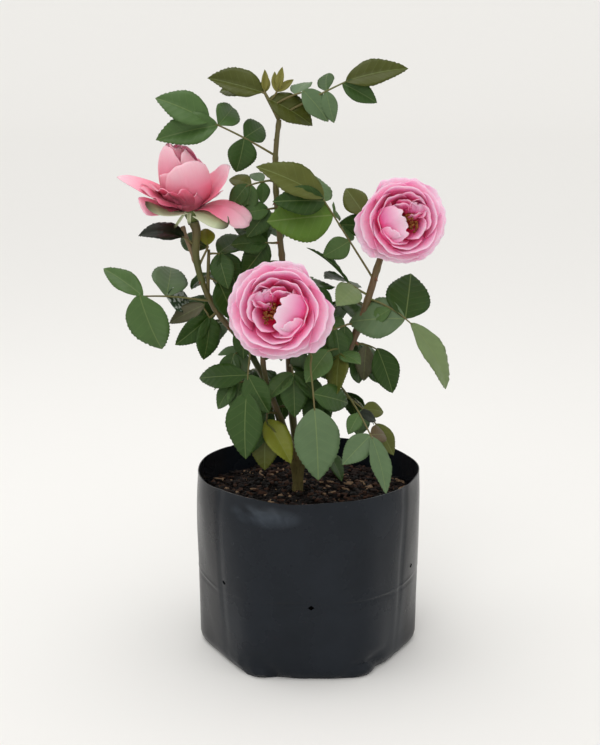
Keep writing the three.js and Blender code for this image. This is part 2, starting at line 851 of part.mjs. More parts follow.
addPart("grow_bag", makeBag(), polythene);
addPart("soil", makeSoil(), pottingMix);
addPart("stump", makeStump(), bark);
Object.keys(CANES).forEach((name) => addPart(`${name}_cane`, caneSolid(name, 0), bark));
Object.keys(BLOOMS).forEach((name) => addPart(name, makeBloom(name), petalPink));
Object.keys(SHOOTS).forEach((name, i) => addPart(name, makeShoot(name, 11 + i), leafGreen));

export default group;
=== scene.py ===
# %% [markdown]
# # A rose bush in a black nursery bag
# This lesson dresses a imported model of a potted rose. The model fixes every size and place: the bag, the
# soil, the stump, the canes, the blooms and the masses of leaves. Here each of them gets the shape and the
# finish of the real thing, in the model's own frame: metres, +Z up, and the viewer at -Y.

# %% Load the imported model
import math
from functools import partial
import bmesh
import bpy
import numpy as np
from mathutils import Matrix, Vector, noise


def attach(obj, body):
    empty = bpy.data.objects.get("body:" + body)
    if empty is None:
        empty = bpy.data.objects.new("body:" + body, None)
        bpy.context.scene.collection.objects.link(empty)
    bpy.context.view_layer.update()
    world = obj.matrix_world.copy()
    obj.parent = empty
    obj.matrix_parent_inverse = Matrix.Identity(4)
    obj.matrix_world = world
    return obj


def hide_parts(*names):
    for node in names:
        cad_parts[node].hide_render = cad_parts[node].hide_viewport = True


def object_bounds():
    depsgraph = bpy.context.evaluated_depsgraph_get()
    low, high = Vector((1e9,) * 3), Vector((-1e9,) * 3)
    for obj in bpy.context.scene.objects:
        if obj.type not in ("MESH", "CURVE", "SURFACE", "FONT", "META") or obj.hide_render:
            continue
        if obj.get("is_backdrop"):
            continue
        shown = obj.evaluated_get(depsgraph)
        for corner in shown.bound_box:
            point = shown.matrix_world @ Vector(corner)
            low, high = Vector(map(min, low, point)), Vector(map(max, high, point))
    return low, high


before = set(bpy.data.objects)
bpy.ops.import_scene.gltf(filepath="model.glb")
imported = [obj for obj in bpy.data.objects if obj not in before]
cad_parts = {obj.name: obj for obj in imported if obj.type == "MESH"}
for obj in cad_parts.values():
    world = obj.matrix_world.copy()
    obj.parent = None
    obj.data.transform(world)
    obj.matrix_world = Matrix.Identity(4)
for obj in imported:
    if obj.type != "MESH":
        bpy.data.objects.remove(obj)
cad_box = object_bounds()
print(len(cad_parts), "nodes, height", round(cad_box[1].z, 3))

# %% [markdown]
# ## Small helpers
# Plants are measured in millimetres, so sizes are written that way and turned to metres when a mesh is
# made. Operators act on whatever is selected, so every step starts with nothing selected and picks its own
# points.

# %% Helpers for sizes, colours and selections
MM = 0.001


def linear(code):
    """An sRGB hex colour as linear light, with full alpha."""
    channels = [int(code[i:i + 2], 16) / 255 for i in (1, 3, 5)]
    return [c / 12.92 if c <= 0.04045 else ((c + 0.055) / 1.055) ** 2.4 for c in channels] + [1.0]


def start_clean():
    """Leaves edit mode and deselects everything."""
    if bpy.context.object and bpy.context.object.mode != "OBJECT":
        bpy.ops.object.mode_set(mode="OBJECT")
    bpy.ops.object.select_all(action="DESELECT")


def edit(piece):
    """Opens one piece in edit mode with nothing in it selected."""
    start_clean()
    bpy.context.view_layer.objects.active = piece
    piece.select_set(True)
    bpy.ops.object.mode_set(mode="EDIT")
    bpy.ops.mesh.select_all(action="DESELECT")


def pick(piece, test):
    """Selects the points of a piece in edit mode whose place passes a test."""
    shape = bmesh.from_edit_mesh(piece.data)
    for v in shape.verts:
        v.select = bool(test(v.co))
    shape.select_flush(True)
    shape.select_flush(False)
    bmesh.update_edit_mesh(piece.data)


# %% Helpers for places, modifiers and seeded numbers
def apply_place(piece):
    """Puts a piece's place into its mesh, so that its object sits at the origin."""
    start_clean()
    bpy.context.view_layer.objects.active = piece
    piece.select_set(True)
    bpy.ops.object.transform_apply(location=True, rotation=True, scale=True)


def add_modifier(piece, kind, **settings):
    """Adds a modifier with its settings and applies it."""
    start_clean()
    bpy.context.view_layer.objects.active = piece
    piece.select_set(True)
    modifier = piece.modifiers.new(kind.title(), kind)
    for key, value in settings.items():
        setattr(modifier, key, value)
    bpy.ops.object.modifier_apply(modifier=modifier.name)


def seeded(seed):
    """The same run of numbers from 0 to 1 as the model's own rule gives."""
    state = seed
    while True:
        state = state * 16807 % 2147483647
        yield state / 2147483647


# %% [markdown]
# ## The photograph's view
# A long lens a little over a metre away looks slightly down on the plant. The focal length is worked out in
# pixels of the 600 by 745 frame from how far the bag's rim opens, and turned into a lens for the sensor.

# %% Camera
FRAME_HEIGHT = 745
FOCAL_PIXELS = 1320
SENSOR = 36
CAMERA_PLACE = (-0.0067, -1.096, 0.514)
CAMERA_TILT = 13.85

camera = bpy.data.objects.new("camera", bpy.data.cameras.new("camera"))
bpy.context.collection.objects.link(camera)
camera.location = CAMERA_PLACE
camera.rotation_euler = (math.radians(90 - CAMERA_TILT), 0, 0)
camera.data.sensor_width = SENSOR
camera.data.lens = FOCAL_PIXELS * SENSOR / FRAME_HEIGHT
bpy.context.scene.camera = camera
bpy.context.scene.view_settings.view_transform = "Standard"
print("lens", round(camera.data.lens, 1), "mm")

# %% [markdown]
# ## One function for shader nodes
# Every finish below is built from nodes. One function adds a node, sets its options and its sockets, and
# links any socket that is given another node's output. Some sockets share a name, so they are called by
# number: a Map Range node takes its value at 0, the range it comes from at 1 and 2 and the range it goes to
# at 3 and 4, and a Mix node takes its share at 0 and its two colours at 6 and 7, and gives their mix at
# output 2. A noise's scale is how many of its patches lie side by side in a metre, so a scale of 700 makes a
# grain of 1.4 mm.


# %% Shader helpers
# Every Mix node in this file mixes colours.
PLAIN_SETTINGS = {"Mix": dict(data_type="RGBA")}


def add_node(material, kind, inputs=(), **settings):
    """Adds one node with its options and its sockets, each a plain value or another node's output."""
    node = material.node_tree.nodes.new("ShaderNode" + kind)
    for key, value in {**PLAIN_SETTINGS.get(kind, {}), **settings}.items():
        setattr(node, key, value)
    for key, value in dict(inputs).items():
        if isinstance(value, bpy.types.NodeSocket):
            material.node_tree.links.new(value, node.inputs[key])
        else:
            node.inputs[key].default_value = value
    return node


def new_material(name, roughness, **sockets):
    """A material and its Principled shader, with the plain numbers set straight on the shader's sockets."""
    material = bpy.data.materials.new(name)
    material.use_nodes = True
    shader = material.node_tree.nodes["Principled BSDF"]
    shader.inputs["Roughness"].default_value = roughness
    for key, value in sockets.items():
        shader.inputs[key.replace("_", " ")].default_value = value
    return material, shader


def feed(material, shader, socket, output):
    """Links an output to one of the shader's sockets."""
    material.node_tree.links.new(output, shader.inputs[socket])


# %% A finish of two mixed colours
def mottled(name, roughness, dark, pale, pattern, stretch=None, bump=None, **sockets):
    """A finish of two colours mixed by a noise, which may be stretched and may raise the surface."""
    material, shader = new_material(name, roughness, **sockets)
    add = partial(add_node, material)
    place = add("TexCoord").outputs["Object"]
    if stretch:
        place = add("Mapping", {"Vector": place, "Scale": stretch}).outputs[0]
    grain = add("TexNoise", {"Vector": place, **pattern}).outputs[0]
    coat = add("Mix", {0: grain, 6: dark, 7: pale}).outputs[2]
    feed(material, shader, "Base Color", coat)
    if bump:
        strength, depth = bump
        relief = add("Bump", {"Height": grain, "Strength": strength, "Distance": depth * MM})
        feed(material, shader, "Normal", relief.outputs[0])
    return material


# %% [markdown]
# ## The studio
# The photograph has a seamless pale sweep under an even sky of light. Here a broad soft light comes from
# the front and above, and a softbox hangs overhead. The sweep is a plane whose far end is bent up, which
# gives a soft contact shadow and no horizon.

# %% Floor and backdrop
SWEEP_WIDTH = 26.0
SWEEP_FRONT = 6.0
SWEEP_BACK = 9.0
SWEEP_RADIUS = 4.0
SWEEP_HEIGHT = 6.0
BEND_SHARE = 0.5
BEND_CUTS = 16
BEND_ANGLE = 0.5

bpy.ops.mesh.primitive_plane_add(size=1)
sweep = bpy.context.object
sweep.name = "studio_sweep"
edit(sweep)
pick(sweep, lambda co: True)
bpy.ops.transform.resize(value=(SWEEP_WIDTH, SWEEP_FRONT + SWEEP_BACK, 1))
bpy.ops.transform.translate(value=(0, (SWEEP_BACK - SWEEP_FRONT) / 2, 0))
pick(sweep, lambda co: co.y > 0)
bpy.ops.mesh.extrude_region_move(TRANSFORM_OT_translate={"value": (0, SWEEP_RADIUS, SWEEP_RADIUS)})
bpy.ops.mesh.extrude_region_move(TRANSFORM_OT_translate={"value": (0, 0, SWEEP_HEIGHT)})
add_modifier(sweep, "BEVEL", width=SWEEP_RADIUS * BEND_SHARE, segments=BEND_CUTS, limit_method="ANGLE",
             angle_limit=BEND_ANGLE)
bpy.ops.object.shade_smooth()
paper, shader = new_material("matt_paper_sweep", 0.9, Specular_IOR_Level=0.1)
shader.inputs["Base Color"].default_value = linear("#efeeeb")
sweep.data.materials.append(paper)
sweep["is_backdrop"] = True
print("sweep", len(sweep.data.polygons), "faces")

# %% Sky and lights
SKY_COLOUR = "#fffefd"
SKY_STRENGTH = 0.86
SUN_FROM = (-0.3, -1.1, 1.3)
SUN_SPREAD = 28
SUN_POWER = 0.45
SOFTBOX_PLACE = (-0.25, 0.1, 1.5)
SOFTBOX_SIZE = 0.9
SOFTBOX_POWER = 4.5

world = bpy.data.worlds.new("soft_studio")
world.use_nodes = True
sky = world.node_tree.nodes["Background"]
sky.inputs["Color"].default_value = linear(SKY_COLOUR)
sky.inputs["Strength"].default_value = SKY_STRENGTH
bpy.context.scene.world = world

sun = bpy.data.lights.new("broad_sky_light", "SUN")
sun.angle = math.radians(SUN_SPREAD)
sun.energy = SUN_POWER
softbox = bpy.data.lights.new("overhead_softbox", "AREA")
softbox.size = SOFTBOX_SIZE
softbox.energy = SOFTBOX_POWER
for lamp, place in ((sun, SUN_FROM), (softbox, SOFTBOX_PLACE)):
    holder = bpy.data.objects.new(lamp.name, lamp)
    holder.location = place
    holder.rotation_euler = Vector(place).to_track_quat("Z", "Y").to_euler()
    bpy.context.collection.objects.link(holder)
print("a sky,", len(bpy.data.lights), "lights")

# %% [markdown]
# ## Gathering small things into one mesh
# Leaflets, petals and bark chips repeat many times. One of each is modelled, its mesh is read as a
# template, and shaped copies are joined into one mesh, each face keeping its material and pattern place.


# %% Templates and joined copies
def read_template(piece):
    """A modelled piece as plain arrays; the piece itself is then removed."""
    mesh = piece.data
    points = np.array([v.co[:] for v in mesh.vertices])
    faces = [tuple(p.vertices) for p in mesh.polygons]
    finishes = [p.material_index for p in mesh.polygons]
    bpy.data.objects.remove(piece)
    return dict(points=points, faces=faces, finishes=finishes)


class Gathering:
    """Copies of templates on their way to being one mesh."""

    def __init__(self):
        self.points, self.faces, self.places, self.tones, self.finishes = [], [], [], [], []
        self.count = 0

    def add(self, points, faces, finishes, places=None, tone=0.0):
        """Takes one copy: its points, its faces and, for each face, the number of its material."""
        self.faces += [tuple(v + self.count for v in face) for face in faces]
        self.points.append(points)
        self.places.append(np.zeros((len(points), 2)) if places is None else places)
        self.tones.append(np.full(len(points), tone))
        self.finishes += list(finishes)
        self.count += len(points)

    def build(self, name, materials):
        """One object from all the copies, with smooth faces, a UV map and a tone for each point."""
        mesh = bpy.data.meshes.new(name)
        points = np.concatenate(self.points) * MM
        mesh.from_pydata(points.tolist(), [], self.faces)
        places = np.concatenate(self.places)
        corners = np.zeros(len(mesh.loops), dtype=np.int32)
        mesh.loops.foreach_get("vertex_index", corners)
        mesh.uv_layers.new(name="place").data.foreach_set("uv", places[corners].ravel())
        tone = mesh.attributes.new("tone", "FLOAT", "POINT")
        tone.data.foreach_set("value", np.concatenate(self.tones))
        for material in materials:
            mesh.materials.append(material)
        mesh.polygons.foreach_set("material_index", self.finishes)
        mesh.polygons.foreach_set("use_smooth", [True] * len(mesh.polygons))
        piece = bpy.data.objects.new(name, mesh)
        bpy.context.collection.objects.link(piece)
        return piece


# %% Attaching finished pieces and hiding the model nodes they stand for
def dress(piece, slot, *nodes):
    """A finished piece rides on the plant's one body and stands for the model's nodes."""
    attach(piece, "root")
    if nodes:
        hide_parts(*nodes)


# %% [markdown]
# ## The bag
# A grow bag is a tube of black polythene film, folded flat at the works and welded across its foot. Opened
# and filled, its foot stands as a soft hexagon and its rim is nearly round. A cylinder is cut into bands,
# its points are then moved to the model's outline, and the fold lines that the flat bag leaves are pressed
# into it.

# %% The outline of the film, as the model has it
# Each level of the bag: its height, its share of the full radius, and how much of a hexagon it is.
BAG_HEIGHT = 160
FOOT_FLAT = 88
FOOT_SHARPNESS = 14
FLAT_TURNS = (30, 90, 150)
RIM_RADIUS = 98.5
RIM_WAVE = 0.9
BAG_LEVELS = ((0, 0.955, 1), (5, 1, 1), (50, 1, 0.6), (105, 1, 0.25), (BAG_HEIGHT, 1, 0))
BAG_WALL = 1.6
WAVE_START = 0.6


def bag_radius(turn, height):
    """The film's radius in millimetres at a turn in radians and a height."""
    flats = sum(abs(math.cos(turn - math.radians(flat))) ** FOOT_SHARPNESS for flat in FLAT_TURNS)
    foot = FOOT_FLAT * flats ** (-1 / FOOT_SHARPNESS)
    rim = RIM_RADIUS + RIM_WAVE * math.sin(3 * turn + WAVE_START)
    heights, sizes, hexagons = zip(*BAG_LEVELS)
    hexagon = np.interp(height, heights, hexagons)
    return np.interp(height, heights, sizes) * (rim + (foot - rim) * hexagon)


# %% Smooth humps and noise round the bag
def near(value, middle, width):
    """A smooth hump of height 1 about a middle."""
    return math.exp(-(((value - middle) / width) ** 2))


def turned(turn, middle):
    """How far round one turn is from another, in degrees."""
    return (math.degrees(turn) - middle + 180) % 360 - 180


def round_noise(turn, fineness, level, shift=0):
    """Noise that closes on itself round the bag; it is finer the larger the circle it is read on."""
    return noise.noise(Vector((math.cos(turn) * fineness + shift, math.sin(turn) * fineness, level)))


# %% Creases, tucks and soft dents of the film
# Slack and fine slack: their depth, how finely they wander round the bag, and how tall they are.
SLACK, SLACK_ROUND, SLACK_TALL = 0.9, 1.7, 70
FINE_SLACK, FINE_ROUND, FINE_TALL = 0.35, 5, 45
WAIST, WAIST_SWAY, WAIST_WANDER = 70, 2.5, 3
WAIST_SHOWN, WAIST_FADING, WAIST_LEAST = 0.7, 1.5, 0.1
# The groove and the ridge of the waist: how deep, how far below or above the fold, and how wide.
WAIST_GROOVE = (0.9, -1.2, 1.4)
WAIST_RIDGE = (0.5, 1.4, 1.2)
GUSSET_TURNS = (219, 328, 42, 138)
GUSSET_DEPTH, GUSSET_WIDTH, GUSSET_FADE = 0.7, 1.5, 60
TUCK_TURNS = (240, 300, 60, 120)
# Each tuck: its depth, its side of the corner in degrees, its drift for each millimetre of height, its half
# width, and the height and half height that it shows at.
TUCKS = ((3.2, 14, -0.55, 5, 6, 15), (1.6, -10, 0.4, 4, 10, 14))
LIP_HEIGHT = 16
LIP_SLACK, LIP_WAVE = 1.6, 1.8
# Each dent: its depth, its turn and half width in degrees, its height, its climb for each degree and its
# half height. One is under the rim, where the film was gripped, and one over the foot.
RIM_DENT = (3.6, 251, 12, 147, 0.12, 4.5)
FOOT_DENT = (3.0, 303, 11, 13, 0.25, 3)
CRUMPLE_DEPTH = 2.4
CRUMPLE_TURN, CRUMPLE_WIDTH = 243, 20
CRUMPLE_HEIGHT, CRUMPLE_TALL = 8, 10
# Each size of crumple: its share, how finely it runs round the bag, and how tall it is.
CRUMPLES = ((1, 9, 5), (0.5, 20, 3))


# %% How far the film stands in
def dent(turn, height, row):
    """How deep one dent is at a place on the film."""
    depth, middle, wide, level, climb, tall = row
    side = turned(turn, middle)
    return depth * near(side, 0, wide) * near(height, level + climb * side, tall)


def waist_crease(turn, height):
    """The fold line round the waist, a groove over a ridge, which fades in and out as it goes round."""
    ring = WAIST + WAIST_SWAY * math.sin(3 * turn) + WAIST_WANDER * round_noise(turn, 2, 4)
    shown = max(WAIST_LEAST, WAIST_SHOWN + WAIST_FADING * round_noise(turn, 3.1, 11, 5))
    groove, below, groove_width = WAIST_GROOVE
    ridge, above, ridge_width = WAIST_RIDGE
    crease = (groove * near(height, ring + below, groove_width)
              - ridge * near(height, ring + above, ridge_width))
    return crease * shown


def film_relief(turn, height):
    """How far the film stands in from the outline, in millimetres."""
    relief = SLACK + SLACK * round_noise(turn, SLACK_ROUND, height / SLACK_TALL)
    relief += FINE_SLACK * round_noise(turn, FINE_ROUND, height / FINE_TALL, 9)
    relief += waist_crease(turn, height)
    for middle in GUSSET_TURNS:
        relief += GUSSET_DEPTH * near(turned(turn, middle), 0, GUSSET_WIDTH) * min(1, height / GUSSET_FADE)
    for middle in TUCK_TURNS:
        for depth, start, drift, wide, level, tall in TUCKS:
            side = turned(turn, middle)
            relief += depth * near(side, start + height * drift, wide) * near(height, level, tall)
    relief += near(height, BAG_HEIGHT, LIP_HEIGHT) * (LIP_SLACK + LIP_WAVE * round_noise(turn, 2.3, 30))
    relief += dent(turn, height, RIM_DENT)
    crumple = sum(share * round_noise(turn, fineness, height / tall) for share, fineness, tall in CRUMPLES)
    relief += (CRUMPLE_DEPTH * crumple * near(height, CRUMPLE_HEIGHT, CRUMPLE_TALL)
               * near(turned(turn, CRUMPLE_TURN), 0, CRUMPLE_WIDTH))
    relief += dent(turn, height, FOOT_DENT)
    return max(0.0, relief)


# %% [markdown]
# The cylinder is cut with some forty level bisects, closer together near the waist and the foot where the
# film is creased. The rim's edge dips and rises a little, because it was cut and handled as soft film.

# %% Model the bag
BAG_SIDES = 180
FILM = 0.8
MIDDLE = 0.5
RIM_DIP = 1.2
RIM_DIP_TALL = 7
CUTS = (4, 8, 12, 16, 20, 25, 30, 36, 42, 48, 54, 59, 62, 64, 66, 68, 69, 70, 71, 72, 74, 76, 79, 84, 90, 96,
        103, 110, 117, 124, 130, 135, 139, 142, 145, 148, 151, 154, 157)

start_clean()
bpy.ops.mesh.primitive_cylinder_add(
    vertices=BAG_SIDES, radius=1, depth=BAG_HEIGHT * MM, location=(0, 0, BAG_HEIGHT / 2 * MM),
    end_fill_type="TRIFAN",
)
bag = bpy.context.object
bag.name = "nursery_bag"
apply_place(bag)
edit(bag)
for cut in CUTS:
    bpy.ops.mesh.select_all(action="SELECT")
    bpy.ops.mesh.bisect(plane_co=(0, 0, cut * MM), plane_no=(0, 0, 1))
pick(bag, lambda co: co.z > (BAG_HEIGHT - 0.5) * MM and co.xy.length < MIDDLE)
bpy.ops.mesh.delete(type="VERT")
bpy.ops.object.mode_set(mode="OBJECT")
for v in bag.data.vertices:
    if v.co.xy.length < MIDDLE:
        continue
    turn = math.atan2(v.co.y, v.co.x)
    height = v.co.z / MM
    radius = bag_radius(turn, height) - film_relief(turn, height)
    edge = near(height, BAG_HEIGHT, RIM_DIP_TALL) * (RIM_DIP + RIM_DIP * round_noise(turn, 3, 50))
    v.co = Vector((math.cos(turn) * radius, math.sin(turn) * radius, height - edge)) * MM
add_modifier(bag, "SOLIDIFY", thickness=FILM * MM, offset=-1)
print("bag", len(bag.data.polygons), "faces")

# %% [markdown]
# The drain holes are punched along the waist fold, so each opens as a small torn diamond. Four-sided pins
# are turned through the film and a Boolean takes them out, which leaves real holes with the dark soil
# behind.

# %% Punch the drain holes
# Each hole: its turn in degrees and its height.
DRAIN_HOLES = ((221, 77), (271.5, 68), (341, 80), (38, 71), (98, 70), (158, 72))
HOLE = 2.9
HOLE_SQUAT = 0.75
PIN_PLACE, PIN_LENGTH = 94, 20
FOLD_ANGLE = 50

start_clean()
pins = []
for turn, height in DRAIN_HOLES:
    way = math.radians(turn)
    bpy.ops.mesh.primitive_cylinder_add(
        vertices=4, radius=HOLE * MM, depth=PIN_LENGTH * MM,
        location=(math.cos(way) * PIN_PLACE * MM, math.sin(way) * PIN_PLACE * MM, height * MM),
        rotation=(0, math.pi / 2, way),
    )
    bpy.ops.transform.resize(value=(1, 1, HOLE_SQUAT))
    pins.append(bpy.context.object)
for pin in pins:
    pin.select_set(True)
bpy.context.view_layer.objects.active = pins[0]
bpy.ops.object.join()
punch = bpy.context.object
add_modifier(bag, "BOOLEAN", object=punch, operation="DIFFERENCE", solver="EXACT")
bpy.data.objects.remove(punch)
start_clean()
bpy.context.view_layer.objects.active = bag
bag.select_set(True)
bpy.ops.object.shade_smooth_by_angle(angle=math.radians(FOLD_ANGLE))
print("holes punched, bag now", len(bag.data.polygons), "faces")

# %% [markdown]
# The film is low-density polythene filled with carbon black and blown as a tube. It is satin rather than
# glossy and slightly blue in the light. Its sides are painted a lighter grey, a painted reflection for the
# sheen they show at a slant, fine scuffs show where it was handled, a paler patch under the rim is a
# painted highlight in the dent there, and a few specks of dust stick to it. Real scratches are hair-fine, so
# they are drawn as coarse as they need to show, 5 mm apart in patches of 40 mm, and the wrinkles that catch
# the light are 22 mm wide.

# %% Polythene film: its black, its scuffs and a painted reflection on its sides
# Past these widths the sides are painted a lighter grey: a painted reflection for the film's sheen at a
# slant.
LEFT_SHEEN_FADE = (-0.073, -0.079)
RIGHT_SHEEN_FADE = (0.080, 0.086)

polythene, shader = new_material("blown_polythene_film", 0.36, IOR=1.51, Specular_IOR_Level=0.13)
add = partial(add_node, polythene)
place = add("TexCoord").outputs["Object"]
cloud = add("TexNoise", {"Vector": place, "Scale": 16, "Detail": 5, "Roughness": 0.6}).outputs[0]
scratch = add("TexNoise", {"Vector": place, "Scale": 210, "Detail": 2, "Distortion": 3}).outputs[0]
scuffs = add("TexNoise", {"Vector": place, "Scale": 26, "Detail": 2}).outputs[0]
line = add("MapRange", {0: scratch, 1: 0.66, 2: 0.74}).outputs[0]
patch = add("MapRange", {0: scuffs, 1: 0.58, 2: 0.72}).outputs[0]
worn = add("Math", {0: line, 1: patch}, operation="MULTIPLY").outputs[0]
base = add("Mix", {0: cloud, 6: linear("#101317"), 7: linear("#252a31")}).outputs[2]
parts = add("SeparateXYZ", {0: place})
left, right = (add("MapRange", {0: parts.outputs[0], 1: start, 2: end}).outputs[0]
               for start, end in (LEFT_SHEEN_FADE, RIGHT_SHEEN_FADE))
# Painted reflection: the left and right sides of the bag get a lighter grey.
painted_side_sheen = add("Math", {0: left, 1: right}, operation="MAXIMUM").outputs[0]
base = add("Mix", {0: painted_side_sheen, 6: base, 7: linear("#1e1f22")}).outputs[2]
base = add("Mix", {0: worn, 6: base, 7: linear("#30343a")}).outputs[2]
print("film black,", len(polythene.node_tree.nodes), "nodes so far")

# %% Polythene film: a painted highlight in the dent under the rim
# A paler patch under the rim, faded by distance from one point and broken by noise, is a painted highlight.
DENT_HIGHLIGHT_PLACE = (-0.036, -0.088, 0.146)
DENT_HIGHLIGHT_SHAPE = (1.0, 1.0, 3.2)
DENT_HIGHLIGHT_FROM, DENT_HIGHLIGHT_TO = 0.034, 0.01

away = add("VectorMath", {0: place, 1: DENT_HIGHLIGHT_PLACE}, operation="SUBTRACT").outputs[0]
squat = add("VectorMath", {0: away, 1: DENT_HIGHLIGHT_SHAPE}, operation="MULTIPLY").outputs[0]
reach = add("VectorMath", {0: squat}, operation="LENGTH").outputs["Value"]
wavy = add("TexNoise", {"Vector": place, "Scale": 34, "Detail": 3, "Distortion": 0.6}).outputs[0]
# How near a point lies to the middle of the painted highlight.
stretch = add("MapRange", {0: reach, 1: DENT_HIGHLIGHT_FROM, 2: DENT_HIGHLIGHT_TO}).outputs[0]
bright = add("MapRange", {0: wavy, 1: 0.4, 2: 0.7}).outputs[0]
painted_dent_highlight = add("Math", {0: stretch, 1: bright}, operation="MULTIPLY").outputs[0]
# The painted highlight is mixed into the film's colour.
base = add("Mix", {0: painted_dent_highlight, 6: base, 7: linear("#505861")}).outputs[2]
print("dent,", len(polythene.node_tree.nodes), "nodes so far")

# %% Polythene film: dust, gloss and wrinkles
dust = add("TexVoronoi", {"Vector": place, "Scale": 110})
speck = add("MapRange", {0: dust.outputs["Distance"], 1: 0.11, 2: 0.06}).outputs[0]
rare = add("Math", {0: dust.outputs["Color"], 1: 0.955}, operation="GREATER_THAN").outputs[0]
dusty = add("Math", {0: speck, 1: rare}, operation="MULTIPLY").outputs[0]
coat = add("Mix", {0: dusty, 6: base, 7: linear("#a9a69c")}).outputs[2]
feed(polythene, shader, "Base Color", coat)
gloss = add("MapRange", {0: cloud, 1: 0.3, 2: 0.7, 3: 0.2, 4: 0.34}).outputs[0]
feed(polythene, shader, "Roughness", gloss)
wrinkle = add("TexNoise", {"Vector": place, "Scale": 45, "Detail": 5}).outputs[0]
relief = add("Bump", {"Height": wrinkle, "Strength": 0.3, "Distance": 1.0 * MM})
feed(polythene, shader, "Normal", relief.outputs[0])
bag.data.materials.append(polythene)
dress(bag, "polythene", "grow_bag")
print("film finish,", len(polythene.node_tree.nodes), "nodes")

# %% [markdown]
# ## The potting mix
# The bag is filled to two fingers below its rim with composted bark and coir. A disc is inset into rings
# and roughened, with a small heap about the root, and thousands of chips are then strewn on it in four
# browns, as sieved bark lies in the real bag.

# %% Model the bed of soil
SOIL_LEVEL = 138
SOIL_EDGE = 133
SOIL_FLOOR = 1.9
SOIL_RINGS, SOIL_SIDES = 24, 120
SOIL_SINK = 2.2
SOIL_DISH = 3.0
SOIL_GAP, FOOT_GAP = 0.6, 1.5
# Each size of lump: its height, its spacing and the slice of the noise it is read from.
LUMPS = ((1.9, 16, 3), (1.1, 5, 8))
ROOT_X, ROOT_Y = -9, -1
HEAP_HEIGHT, HEAP_WIDTH = 2.4, 15


def soil_height(x, y):
    """The height of the soil's surface in millimetres at a place in millimetres."""
    away = math.hypot(x, y) / RIM_RADIUS
    lumps = sum(tall * noise.noise(Vector((x / wide, y / wide, level))) for tall, wide, level in LUMPS)
    heap = HEAP_HEIGHT * near(math.hypot(x - ROOT_X, y - ROOT_Y), 0, HEAP_WIDTH)
    return SOIL_LEVEL - SOIL_SINK - SOIL_DISH * away ** 4 + lumps + heap


start_clean()
bpy.ops.mesh.primitive_cylinder_add(
    vertices=SOIL_SIDES, radius=1, depth=1, location=(0, 0, 0.5), end_fill_type="NGON")
soil = bpy.context.object
soil.name = "potting_mix"
apply_place(soil)
edit(soil)
bpy.ops.mesh.select_mode(type="FACE")
shape = bmesh.from_edit_mesh(soil.data)
for face in shape.faces:
    face.select = face.normal.z > 0.9
bmesh.update_edit_mesh(soil.data)
for ring in range(SOIL_RINGS - 1):
    bpy.ops.mesh.inset(thickness=1 / SOIL_RINGS, depth=0)
bpy.ops.mesh.select_mode(type="VERT")
bpy.ops.object.mode_set(mode="OBJECT")
for v in soil.data.vertices:
    turn = math.atan2(v.co.y, v.co.x)
    share = v.co.xy.length
    if v.co.z < 0.5:
        radius = (bag_radius(turn, SOIL_FLOOR) - 2 * BAG_WALL - FOOT_GAP) * share
        height = SOIL_FLOOR
    else:
        radius = (bag_radius(turn, SOIL_EDGE) - film_relief(turn, SOIL_EDGE) - FILM - SOIL_GAP) * share
        height = soil_height(math.cos(turn) * radius, math.sin(turn) * radius)
    v.co = Vector((math.cos(turn) * radius, math.sin(turn) * radius, height)) * MM
bpy.ops.object.shade_smooth()
print("soil", len(soil.data.polygons), "faces")

# %% [markdown]
# A chip is a split flake of bark: a cube squashed, bevelled and pulled out of square. One flake is
# modelled, and its copies differ in size, turn and colour. Most are small, because sieved mix holds few
# large pieces.

# %% Model one flake of bark
FLAKE_TAPER = (1, 0.55, 0.6)
FLAKE_SLIDE = (0.12, 0.08, 0)
FLAKE_SHAPE = (1.0, 0.62, 0.34)
FLAKE_WORN = 0.06

start_clean()
bpy.ops.mesh.primitive_cube_add(size=1)
flake = bpy.context.object
edit(flake)
pick(flake, lambda co: co.x > 0)
bpy.ops.transform.resize(value=FLAKE_TAPER)
pick(flake, lambda co: co.z > 0)
bpy.ops.transform.translate(value=FLAKE_SLIDE)
pick(flake, lambda co: True)
bpy.ops.transform.resize(value=FLAKE_SHAPE)
bpy.ops.mesh.bevel(offset=FLAKE_WORN, segments=1, affect="EDGES")
bpy.ops.object.mode_set(mode="OBJECT")
flake_template = read_template(flake)
print("flake", len(flake_template["faces"]), "faces")

# %% Strew bark chips
CHIPS = 4200
CHIP_SEED = 404
CHIP_REACH = 92
CHIP_MIDDLE = 4.4
CHIP_LEAST, CHIP_RANGE, CHIP_RARITY = 0.35, 1.3, 2.2
CHIP_TILT = 1.3
CHIP_LIFT = 0.2
CHIP_SHARES = (0.46, 0.74, 0.92, 1.01)
ANY_WAY = 6.28


def tumbled(random, tilt):
    """A turn any way round after a tilt, as a matrix that turns rows of points."""
    turn = Matrix.Rotation(next(random) * ANY_WAY, 3, "Z") @ Matrix.Rotation(tilt(next(random)), 3, "X")
    return np.array(turn.transposed())


random = seeded(CHIP_SEED)
chips = Gathering()
for _ in range(CHIPS):
    turn = next(random) * 2 * math.pi
    spread = math.sqrt(next(random)) * CHIP_REACH
    x, y = math.cos(turn) * spread, math.sin(turn) * spread
    size = CHIP_MIDDLE * (CHIP_LEAST + CHIP_RANGE * next(random) ** CHIP_RARITY)
    way = tumbled(random, lambda draw: (draw - 0.5) * CHIP_TILT)
    lift = soil_height(x, y) + CHIP_LIFT * size
    points = flake_template["points"] @ way * size + np.array([x, y, lift])
    kind = int(np.searchsorted(CHIP_SHARES, next(random)))
    chips.add(points, flake_template["faces"], [kind] * len(flake_template["faces"]))
print(CHIPS, "chips")

# %% [markdown]
# Wet composted bark is nearly black brown; the drier flakes on top are redder and paler. A chip's grain is
# 1.4 mm wide, and the crumbs of the mix between the chips are 2.4 mm.

